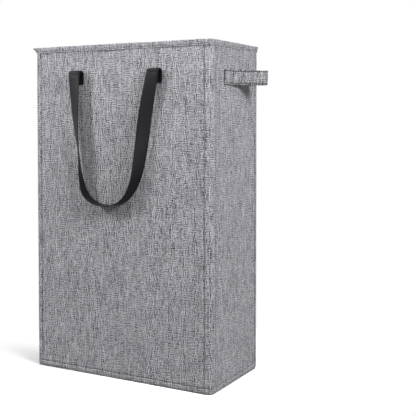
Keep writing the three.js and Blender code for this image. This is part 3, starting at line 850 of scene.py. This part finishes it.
coloured(tree, fuzz, "#0B0C0E", "#16171A", {
    "Normal": relief, "Roughness": 0.45, "Specular IOR Level": 0.2, "Sheen Weight": 0.1,
    "Sheen Roughness": 0.2, "Sheen Tint": linear("#D9DACB")})


def strip(name, centres, acrosses, outs, lengths):
    """Webbing with rounded edges through stations of centre, across and out; lengths places
    its ribs."""
    edge, flat = WEBBING_THICK / 2, WEBBING_WIDTH / 2 - WEBBING_THICK / 2
    section = []
    for side in (1, -1):
        for step in range(5):
            angle = math.pi / 2 - math.pi * step / 4
            section.append((side * (flat + edge * math.cos(angle)), side * edge * math.sin(angle)))
        section += [(side * share * flat, -side * edge) for share in (0.6, 0.2, -0.2, -0.6)]
    sides = len(section)
    points = [centre + across * x + out * y
              for centre, across, out in zip(centres, acrosses, outs) for x, y in section]
    faces = ring_faces(len(centres), sides)
    uvs = [(section[c % sides][0], lengths[c // sides]) for f in faces for c in f]
    return object_from(name, points, faces, uvs, [webbing], sharp=50)


def strap_stations(turn):
    """Centres, width and face directions of the hanging strap, from its left end seen from
    outside; turn is 1 at the front."""
    drop = FOLD_HEIGHT - HANDLE_BOTTOM
    left, right = (
        [(slit * spread, 0, FOLD_HEIGHT - share * drop) for share, spread in zip(LEG_DROPS, spreads)]
        for slit, spreads in ((HANDLE_LEFT, LEFT_SPREADS), (-HANDLE_RIGHT, RIGHT_SPREADS)))
    line = np.array(smooth_line(left + [(LOWEST_LEFT, 0, HANDLE_BOTTOM)] + right[::-1], STRAP_STATIONS + 1))
    tangents = np.gradient(line, axis=0)
    lowest = int(np.argmin(line[:, 2]))
    centres, acrosses, outs = [], [], []
    for index, (point, along) in enumerate(zip(line, tangents)):
        along = along / np.linalg.norm(along)
        share = index / lowest if index < lowest else (STRAP_STATIONS - index) / (STRAP_STATIONS - lowest)
        twist = math.pi / 2 * np.interp(share, np.linspace(0, 1, len(LEG_TWISTS)), LEG_TWISTS)
        outer, front = np.array([-along[2], 0, along[0]]), np.array([0.0, 1.0, 0.0])
        across = -math.cos(twist) * outer + math.sin(twist) * front
        out = math.cos(twist) * front + math.sin(twist) * outer
        stand = STRAP_FACE + (LOWEST_FACE - STRAP_FACE) * math.sin(twist)
        flip = np.array([-turn, -turn, 1])
        centres.append(np.array([point[0], stand, point[2]]) * flip)
        acrosses.append(across * flip)
        outs.append(out * flip)
    return centres, acrosses, outs


for side, turn in (("front", 1), ("rear", -1)):
    centres, acrosses, outs = strap_stations(turn)
    reached = lengths_along(centres)
    keep = slice(TAB_OVERLAP, STRAP_STATIONS + 1 - TAB_OVERLAP)
    strap = strip(f"{side}_handle_webbing", centres[keep], acrosses[keep], outs[keep], reached[keep])
    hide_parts(f"{side}_handle_strap")
    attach(strap, f"{side}_handle")
    for corner, end in (("left" if turn > 0 else "right", 0), ("right" if turn > 0 else "left", -1)):
        # The tab rises along the wall, turns over with a pressed crease at the front of the
        # fold, and runs on into the strap as far as the overlap.
        at_x = centres[end][0]
        middle, wide = TAB_FACE + FOLD_RADIUS, np.array([turn, 0.0, 0.0])
        tab_centres = [np.array([at_x, -turn * TAB_FACE, z])
                       for z in np.linspace(TAB_FOOT, FOLD_HEIGHT, 5)[:-1]]
        tab_outs = [np.array([0.0, turn, 0.0])] * len(tab_centres)
        for step in range(FOLD_STEPS):
            angle = math.pi * step / FOLD_STEPS
            reach = FOLD_RADIUS - FOLD_PRESS * bell(angle - FOLD_CREASE, 0.1)
            reach += 0.3 * bell(angle - FOLD_CREASE + 0.3, 0.2)
            tab_centres.append(np.array([
                at_x, -turn * (middle - reach * math.cos(angle)), FOLD_HEIGHT + reach * math.sin(angle)]))
            tab_outs.append(np.array([0.0, turn * math.cos(angle), math.sin(angle)]))
        tab_acrosses = [wide] * len(tab_centres)
        overlap = [step if end == 0 else STRAP_STATIONS - step for step in range(TAB_OVERLAP + 1)]
        for index in overlap:
            tab_centres.append(centres[index])
            tab_outs.append(outs[index] * math.copysign(1, np.dot(outs[index], (0, -turn, 0))))
            tab_acrosses.append(acrosses[index] * math.copysign(1, np.dot(acrosses[index], wide)))
        lengths = lengths_along(tab_centres)
        lengths += reached[overlap[-1]] - lengths[-1]
        tab = strip(f"{side}_handle_{corner}_fold", tab_centres, tab_acrosses, tab_outs, lengths)
        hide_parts(f"{side}_handle_{corner}_tab")
        blend_from, blend_to = ((at_x * MM, -turn * y * MM, 0.51) for y in FOLD_BLEND)
        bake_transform(tab)
        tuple(blend_from)
        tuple(blend_to)


# Grab loops: a flat tube of the outer cloth on each side wall, topstitched all round and sewn
# down at both ends. It stands off the wall in a slack bend with a pressed crease in it.
LOOP_SPAN = 85.0
LOOP_TOP = 515.0
LOOP_HEIGHT = 24.0
LOOP_THICK = 2.2
LOOP_FACE = WIDTH / 2 + 0.3 + LOOP_THICK / 2
LOOP_STAND = 40.0
LOOP_ALONG = (-1, -0.72, -0.3, 0.05, 0.4, 0.62, 0.75, 0.84, 0.83, 0.78, 0.76, 0.79, 0.87, 1)
LOOP_OUT = (0, 0, 0.07, 0.29, 0.7, 0.96, 1, 0.92, 0.75, 0.42, 0.18, 0.05, 0, 0)
LOOP_STATIONS = 110
LOOP_STITCH = 2.2
LOOP_GROOVE = 1.0
LOOP_PUCKER = 0.12
LOOP_CREASE = 0.5
LOOP_LEAN = 0.38


def loop_frames(turn):
    """Centres and outward directions of the loop's middle line, which goes to the rear at the
    right of the hamper, turn 1, and to the front at its left, turn -1. The slack is at the rear."""
    route = [(turn * (LOOP_FACE + out * LOOP_STAND), along * LOOP_SPAN / 2, LOOP_TOP - LOOP_HEIGHT / 2)
             for along, out in zip(LOOP_ALONG, LOOP_OUT)]
    line = np.array(smooth_line(route[::turn], LOOP_STATIONS + 1))
    tangents = np.gradient(line, axis=0)
    return line, np.array([(t[1], -t[0], 0) / np.linalg.norm(t) for t in tangents])


for side, turn in (("right", 1), ("left", -1)):
    centres, outs = loop_frames(turn)
    reached = lengths_along(centres)
    loop_length = reached[-1]
    # From its front end: the pressed crease, where it leans, and the seams that hold its ends.
    crease_at, lean_at, *stitched_across = (
        at if turn > 0 else loop_length - at
        for at in (0.3 * loop_length, 0.38 * loop_length, 24.0, loop_length - 15.0))

    def skin(layer):
        """One face of the flat tube, outwards for layer 1 and towards the wall for -1."""
        def place(distance, height):
            at, out = (np.array([np.interp(distance, reached, axis) for axis in places.T])
                       for places in (centres, outs))
            out /= np.linalg.norm(out)
            edge = min(LOOP_HEIGHT / 2 - abs(height), distance, loop_length - distance)
            near = ramp(edge / (LOOP_THICK / 2))
            thick = LOOP_THICK / 2 * math.sqrt(near * (2 - near))
            thick -= LOOP_GROOVE * bell(edge - LOOP_STITCH, 0.9)
            thick += LOOP_PUCKER * bell(edge - LOOP_STITCH, 2.2) * math.sin((distance + height) / 0.9)
            sewn = bell(min(distance, loop_length - distance), 12)
            wave = 0.5 * (1 - sewn) * math.sin(distance / 17 + 0.4) * height / LOOP_HEIGHT * 2
            crease = LOOP_CREASE * bell(distance - crease_at, 1.3)
            lean = LOOP_LEAN * height * bell(distance - lean_at, 0.18 * loop_length)
            return at + out * (layer * max(0.02, thick) + wave - crease + lean) + np.array([0, 0, height])
        return place

    # Rows across the loop's 24 mm, closer together at its edges and stitch lines.
    rows = [-12, -11.9, -11.6, -11.2, -10.8, -10, -9.4, -8.8, -8.2, -7, -5, -2.5, 0]
    rows += [-r for r in reversed(rows[:-1])]
    front_skin = skin(1)
    columns = stations(0, loop_length, 1.8, (LOOP_STITCH, loop_length - LOOP_STITCH, crease_at), 3.0)
    grab_loop = shell(f"{side}_cloth_grab_loop", front_skin, columns, rows, 0, [linen_weave], skin(-1), 70)
    loop_rows = []
    stitch_height = LOOP_HEIGHT / 2 - LOOP_STITCH
    for height in (-stitch_height, stitch_height):
        loop_rows += row_on(front_skin, height, LOOP_STITCH, loop_length - LOOP_STITCH, False, 0.1)
    for at in (LOOP_STITCH, loop_length - LOOP_STITCH, *stitched_across):
        loop_rows += row_on(front_skin, at, -stitch_height, stitch_height, True, 0.1)
    # The thread is drawn thicker than its real 0.5 mm, so that its line shows: partly the real
    # stitching, partly painted shade for the shadow line along the loop's rolled edges.
    loop_thread = stitches(f"{side}_loop_stitching", loop_rows, radius=0.75, length=3.3)
    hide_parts(f"{side}_grab_loop")
    for piece in (grab_loop, loop_thread):
        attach(piece, f"{side}_front_side")
        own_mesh(piece)


# Mesh cover: a dark knitted polyester net sewn in under the rim, which hangs open inside in
# soft upright folds. A tube of closer cloth along its lower edge holds the drawcord.
MESH_TOP = 549.7
MESH_FOOT = 382.0
MESH_THICK = 1.0
MESH_WAVE = 2.0
MESH_WAVE_LENGTH = 27.0
MESH_EDGE = WIDTH / 2 - 19.0
SIDE_MESH_EDGE = DEPTH / 2 - 19.0
REAR_MESH_LINE = 78.5
SIDE_MESH_LINE = 171.4
CASING_TOP = 381.7
CASING_TALL = 10.0
CASING_THICK = 6.0
CASING_SHIFT = 3.0
CASING_ROUND = 26.0
CASING_WAVE_LENGTH = 9.0

# Net: warp-knitted black polyester. Its holes are about 1.5 mm on the real cover and are
# drawn at 3 mm, as a diamond mesh that is clear between the strands.
NET_MM = 3.0
net, tree = new_material("warp_knitted_net")
place = add(tree, "SeparateXYZ", {0: add(tree, "UVMap", uv_map="cloth_mm")})
ways = []
for sign in (1.0, -1.0):
    diagonal = add(tree, "Math", {0: place.outputs[1], 1: sign, 2: place.outputs[0]},
                   operation="MULTIPLY_ADD")
    turned = add(tree, "Math", {0: diagonal, 1: math.pi / NET_MM}, operation="MULTIPLY")
    wave = add(tree, "Math", {0: turned}, operation="SINE")
    ways.append(add(tree, "Math", {0: wave}, operation="ABSOLUTE"))
nearest = add(tree, "Math", {0: ways[0], 1: ways[1]}, operation="MINIMUM")
strand = add(tree, "MapRange", {0: nearest, 1: 0.30, 2: 0.42, 3: 1.0, 4: 0.0})
round_strand = add(tree, "MapRange", {0: nearest, 1: 0.0, 2: 0.4, 3: 1.0, 4: 0.0})
relief = add(tree, "Bump", {"Height": round_strand, "Distance": 0.0003})
fuzz = add(tree, "TexNoise", {"Vector": add(tree, "UVMap", uv_map="cloth_mm"), "Scale": 1.3, "Detail": 3.0})
coloured(tree, fuzz, "#26272A", "#4A4B4E", {
    "Normal": relief, "Alpha": strand, "Roughness": 0.7, "Sheen Weight": 0.1})

# Casing cloth: the drawcord's channel, close plain weave in the same dark polyester.
casing_weave = cloth_material("casing_plain_weave", 0.8, 9.0, "#26272A", "#46474B", 0.2, 0.12, 0.8, 0.1)


def net_face(low, high, put, depth_line, seed):
    """A hanging stretch of the net from low to high along the wall; put turns (along, inward
    distance, z) into a place."""
    folds = max(1, round((high - low) / MESH_WAVE_LENGTH))

    def place(along, z):
        share = (along - low) / (high - low)
        loose = 1 - 0.45 * bell(z - MESH_TOP, 30) - 0.7 * bell(z - MESH_FOOT, 14)
        wander = 0.35 * ripple(2 * along, 1.5 * z, seed)
        sway = MESH_WAVE * loose * math.cos(2 * math.pi * folds * share + wander)
        sway += 0.4 * loose * ripple(4 * along, z, seed + 2)
        return put(along, depth_line - sway, z)
    return place


def casing_face(low, high, put, depth_line, seed):
    """The gathered channel; v runs once round its section."""
    folds = max(1, round((high - low) / CASING_WAVE_LENGTH))

    def place(along, turn_by):
        share = (along - low) / (high - low)
        girth = 1 + 0.08 * math.cos(2 * math.pi * folds * share) + 0.05 * ripple(6 * along, 0, seed)
        x = math.sin(turn_by) * CASING_THICK / 2 * girth
        z = CASING_TOP - CASING_TALL / 2 - math.cos(turn_by) * CASING_TALL / 2 * (2 - girth)
        return put(along, depth_line - CASING_SHIFT + x, z)
    return place


def ring_sweep(name, surface, us, rings, girth, materials):
    """A closed round-sectioned piece: surface(u, angle) swept along us, with both ends shut."""
    points = [surface(u, 2 * math.pi * step / rings) for u in us for step in range(rings)]
    faces, uvs = ring_faces(len(us), rings, clockwise=True), []
    for face in faces:
        # A face that closes the ring ends at the far edge of the pattern, not at its start.
        closing = any(corner % rings == rings - 1 for corner in face)
        for corner in face:
            level, step = divmod(corner, rings)
            uvs.append((us[level], girth * (step or closing * rings) / rings))
    return object_from(name, points, faces, uvs, materials, sharp=60)


net_rows = stations(MESH_FOOT, MESH_TOP, 6.0)
for side, turn, seed in (("front", 1, 0.7), ("rear", -1, 2.9), ("right", 1, 1.1), ("left", -1, 4.4)):
    stiff = side in ("front", "rear")
    edge, depth_line, spacing = (
        (MESH_EDGE, REAR_MESH_LINE, 2.6) if stiff else (SIDE_MESH_EDGE, SIDE_MESH_LINE, 2.2))

    def put(along, inward, z):
        return (turn * along, -turn * inward, z) if stiff else (turn * inward, turn * along, z)
    net_piece = shell(f"{side}_mesh_net", net_face(-edge, edge, put, depth_line, seed),
                      stations(-edge, edge, spacing), net_rows, MESH_THICK * 0.6, [net])
    casing = ring_sweep(f"{side}_drawcord_casing", casing_face(-edge, edge, put, depth_line, seed),
                        stations(-edge, edge, 1.9), 14, CASING_ROUND, [casing_weave])
    for part, nodes in ((net_piece, "mesh"), (casing, "mesh_casing")):
        if stiff:
            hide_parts(f"{side}_{nodes}")
            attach(part, f"{side}_wall")
        else:
            crease_from, crease_to = crease_blend(turn)
            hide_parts(f"{side}_rear_{nodes}", f"{side}_front_{nodes}")
            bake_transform(part)
            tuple(crease_from)
            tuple(crease_to)


# Drawcord: black braided polyester, 2.4 mm thick. Both its ends leave the rear casing side by
# side, pass through the spring lock and hang down to a knot each.
CORD_RADIUS = 1.2
CORD_FROM = (0.0, 75.1, 371.7)
CORD_PITCH = 2.8
# Each tail's run from the casing: straight through the lock, and then a slack bend.
TAIL_TOP = tuple((0, 0, z) for z in (-0.3, -14, -28, -42, -56, -72))
TAIL_LEFT = TAIL_TOP + ((-0.8, 0, -82), (-2.4, -0.3, -92), (-4.4, -0.8, -102), (-6.2, -1.2, -112),
                        (-7.4, -1.4, -122), (-8, -1.4, -132), (-8.2, -1.2, -142))
TAIL_RIGHT = TAIL_TOP + ((0.7, 0, -82), (2, 0.2, -92), (3.8, 0.5, -102), (5.2, 0.6, -112),
                         (5.9, 0.5, -122), (5.7, 0.3, -132))
BRAID_MM = 3.4
KNOT_TALL = 8.0

# Braid: eight plaited strands round a core, black with a faint sheen, a painted highlight on
# each strand's crest and painted shade in the grooves between the strands.
braid, tree = new_material("braided_polyester_cord")
place = add(tree, "SeparateXYZ", {0: add(tree, "UVMap", uv_map="cloth_mm")})
turns = []
for sign in (1.0, -1.0):
    lengthwise = add(tree, "Math", {0: place.outputs[0], 1: sign * 2 * math.pi / BRAID_MM},
                     operation="MULTIPLY")
    round_it = add(tree, "Math", {0: place.outputs[1], 1: 4 / CORD_RADIUS, 2: lengthwise},
                   operation="MULTIPLY_ADD")
    turns.append(add(tree, "Math", {0: round_it}, operation="SINE"))
plait = add(tree, "Math", {0: turns[0], 1: turns[1]}, operation="MAXIMUM")
height = add(tree, "MapRange", {0: plait, 1: -0.4, 2: 1.0})
relief = add(tree, "Bump", {"Height": height, "Distance": 0.0002})
# The colour follows the plait's relief: painted shade in the grooves and a painted highlight on the crests.
coloured(tree, height, "#0E0E10", "#2A2A2D", {"Normal": relief, "Roughness": 0.55, "Sheen Weight": 0.2})


def tube(name, line, radius, sides, materials, plaited=False, closed_tip=0.0):
    """A round tube along a line of points, its ends rounded off over closed_tip."""
    line = np.array(line, float)
    tangents = np.gradient(line, axis=0)
    tangents /= np.linalg.norm(tangents, axis=1, keepdims=True)
    reached = lengths_along(line)
    across = np.cross(tangents[0], (0.31, 0.92, 0.23))
    frames = []
    for tangent in tangents:
        across = across - tangent * np.dot(across, tangent)
        across /= np.linalg.norm(across)
        frames.append((across, np.cross(tangent, across)))

    def surface(at, angle):
        index = int(np.argmin(np.abs(reached - at)))
        first, second = frames[index]
        girth = radius
        if closed_tip:
            near = min(1.0, min(at, reached[-1] - at) / closed_tip)
            girth *= 0.35 + 0.65 * math.sqrt(near * (2 - near))
        if plaited:
            turn_by = 2 * math.pi * at / BRAID_MM
            girth *= 1 - 0.05 + 0.05 * max(math.sin(4 * angle + turn_by), math.sin(4 * angle - turn_by))
        return line[index] + girth * (math.cos(angle) * first + math.sin(angle) * second)
    return ring_sweep(name, surface, reached, sides, 2 * math.pi * radius, materials)


def knot_line():
    """An overhand knot in the cord's end, drawn up small: in at the top, out at the bottom."""
    line = [(0, 0, 4.2), (0, 0, 3.2)]
    for step in range(0, 41):
        t = -0.35 + (2 * math.pi + 0.7) * step / 40
        line.append((0.62 * (math.sin(t) + 1.35 * math.sin(2 * t)), 0.95 * math.sin(3 * t + 0.4),
                     0.85 * (math.cos(t) - 1.35 * math.cos(2 * t)) + 0.2))
    line += [(0.3, 0, -2.6), (0.2, 0, -3.9)]
    return smooth_line(line, 140)


for side, route, turn in (("left", TAIL_LEFT, -1), ("right", TAIL_RIGHT, 1)):
    # The tails lie one behind the other, the left one nearer the middle of the hamper.
    points = [(CORD_FROM[0] + x, CORD_FROM[1] + y + turn * CORD_PITCH / 2, CORD_FROM[2] + z)
              for x, y, z in route]
    line = smooth_line(points, 260)
    length = float(lengths_along(line)[-1])
    tail = tube(f"drawcord_{side}_tail", line, CORD_RADIUS, 16, [braid], True, 0.4)
    knot_top = points[-1][2] - 0.3
    centre = np.array([points[-1][0], points[-1][1], knot_top - KNOT_TALL / 2])
    knot = tube(f"drawcord_{side}_knot", [centre + np.array(p) for p in knot_line()], 0.95, 10, [braid],
                closed_tip=0.5)
    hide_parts(f"cord_tail_{side}")
    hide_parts(f"cord_knot_{side}")
    for part in (tail, knot):
        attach(part, "rear_wall")
    [c * MM for c in points[0]]


# Spring cord lock: a moulded black barrel with grip rings and a button that slides in it
# against a wire spring. Pressing the button lines up its slot with the barrel's, and the lock
# slides along the two tails.
LOCK_AT = (0.0, 75.1, 355.7)
LOCK_RADIUS = 6.0
LOCK_BACK = 10.5
LOCK_END = 8.5
LOCK_FLOOR = 1.5
LOCK_BORE = 4.4
CORD_GRIP = 1.5
SLOT_HALF = CORD_PITCH / 2 + CORD_GRIP
BUTTON_RADIUS = 4.1
BUTTON_WEB = 1.8
BUTTON_END = LOCK_END + 5.0
BUTTON_TRAVEL = 3.0
SPRING_RADIUS = 3.2
SPRING_WIRE = 0.5
SPRING_CURLS = 4

# Moulded nylon: black, satin, with the fine even grain of a spark-eroded mould.
moulded_nylon, tree = new_material("moulded_nylon")
place = add(tree, "TexCoord").outputs["Object"]
grain = add(tree, "TexNoise", {"Vector": place, "Scale": 3500.0, "Detail": 2.0})
worn = add(tree, "TexNoise", {"Vector": place, "Scale": 220.0, "Detail": 3.0})
rough = add(tree, "MapRange", {0: worn, 1: 0.3, 2: 0.7, 3: 0.34, 4: 0.48})
relief = add(tree, "Bump", {"Height": grain, "Distance": 0.00004, "Strength": 0.5})
coloured(tree, worn, "#141416", "#242427", {"Normal": relief, "Roughness": rough, "IOR": 1.53})

# Spring wire: cold-drawn steel, bright with fine lengthwise drawing marks.
drawn_steel, tree = new_material("drawn_spring_steel")
marks = add(tree, "TexNoise", {"Vector": add(tree, "UVMap", uv_map="cloth_mm"), "Scale": 6.0, "Detail": 2.0})
coloured(tree, marks, "#A9ABAF", "#CDD0D4", {"Metallic": 1.0, "Roughness": 0.3})


def turned_along_x(name, profile, materials, sides=48):
    """A solid of revolution about the lock's axis; profile lists (x, radius) from end to end."""
    points = []
    for x, radius in profile:
        for angle in 2 * math.pi * np.arange(sides) / sides:
            points.append((LOCK_AT[0] + x, LOCK_AT[1] + radius * math.cos(angle),
                           LOCK_AT[2] + radius * math.sin(angle)))
    faces = ring_faces(len(profile), sides, clockwise=True)
    uvs = [(points[c][0], points[c][1]) for f in faces for c in f]
    return object_from(name, points, faces, uvs, materials)


def slot_cutter(name, low_x, high_x):
    """An upright cutter with rounded corners, for the two cords side by side."""
    middle, half_x = (low_x + high_x) / 2, (high_x - low_x) / 2
    ring = rounded_ring(half_x, SLOT_HALF, SLOT_HALF, min(SLOT_HALF, half_x) - 0.01, 4)
    points = [(LOCK_AT[0] + middle + x, LOCK_AT[1] + y, LOCK_AT[2] + z)
              for z in (-LOCK_RADIUS - 3, LOCK_RADIUS + 3) for x, y in ring]
    faces = ring_faces(2, len(ring))
    return object_from(name, points, faces, [(0.0, 0.0)] * sum(len(f) for f in faces), [])


def cut_by(piece, cutters):
    """Takes the cutters' shapes out of a piece and removes them."""
    for cutter in cutters:
        modifier = piece.modifiers.new("cut", "BOOLEAN")
        modifier.operation = "DIFFERENCE"
        modifier.object = cutter
    evaluated = piece.evaluated_get(bpy.context.evaluated_depsgraph_get())
    mesh = bpy.data.meshes.new_from_object(evaluated)
    piece.modifiers.clear()
    piece.data = mesh
    mesh.shade_smooth()
    mesh.set_sharp_from_angle(angle=math.radians(35))
    for cutter in cutters:
        bpy.data.objects.remove(cutter)


# The barrel: a rounded back, three grip rings, and a rounded rim at the button's end.
barrel_profile = [(x - LOCK_BACK, radius) for x, radius in (
    (0, 3.4), (0.15, 4.4), (0.6, 5.2), (1.4, 5.7), (2.2, 5.85))]
for ring_at in (-7.4, -5.6, -3.8):
    barrel_profile += [(ring_at + x, radius) for x, radius in (
        (-0.5, 5.85), (-0.35, 5.5), (0.35, 5.5), (0.5, 5.85))]
barrel_profile += [(-2.6, LOCK_RADIUS), (4.2, LOCK_RADIUS), (LOCK_END - 1.6, 5.95), (LOCK_END - 0.5, 5.75),
                   (LOCK_END - 0.1, 5.4), (LOCK_END, 5.0)]
barrel = turned_along_x("cord_lock_barrel", barrel_profile, [moulded_nylon])
bore = turned_along_x("bore_cutter", [(LOCK_FLOOR - LOCK_BACK, LOCK_BORE), (LOCK_END + 4, LOCK_BORE)], [])
cut_by(barrel, [bore, slot_cutter("barrel_slot_cutter", -CORD_GRIP, CORD_GRIP)])
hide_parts("cord_lock_body")
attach(barrel, "cord_lock")

button_from = -CORD_GRIP - BUTTON_WEB
button_profile = [(button_from, 3.7), (button_from + 0.3, BUTTON_RADIUS - 0.1),
                  (button_from + 0.8, BUTTON_RADIUS), (BUTTON_END - 1.5, BUTTON_RADIUS)]
# Its end is domed, with a shallow dimple for the finger.
button_profile += [(BUTTON_END - x, radius) for x, radius in (
    (0.6, 3.75), (0.15, 3.2), (0, 2.4), (0.15, 1.6), (0.3, 0.6))]
button = turned_along_x("cord_lock_push_button", button_profile, [moulded_nylon])
cut_by(button, [slot_cutter("button_slot_cutter", -CORD_GRIP, CORD_GRIP + BUTTON_TRAVEL)])
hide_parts("cord_lock_button")
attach(button, "lock_button")

spring_from = LOCK_FLOOR - LOCK_BACK + SPRING_WIRE / 2 + 0.3
spring_to = button_from - SPRING_WIRE / 2 - 0.3
coil = []
for step in range(SPRING_CURLS * 32 + 1):
    angle = 2 * math.pi * step / 32
    coil.append((LOCK_AT[0] + spring_from + (spring_to - spring_from) * step / (SPRING_CURLS * 32),
                 LOCK_AT[1] + SPRING_RADIUS * math.cos(angle),
                 LOCK_AT[2] + SPRING_RADIUS * math.sin(angle)))
spring = tube("cord_lock_coil_spring", coil, SPRING_WIRE / 2, 10, [drawn_steel])
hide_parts("cord_lock_spring")
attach(spring, "cord_lock")
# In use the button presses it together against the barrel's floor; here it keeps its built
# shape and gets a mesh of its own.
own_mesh(spring)
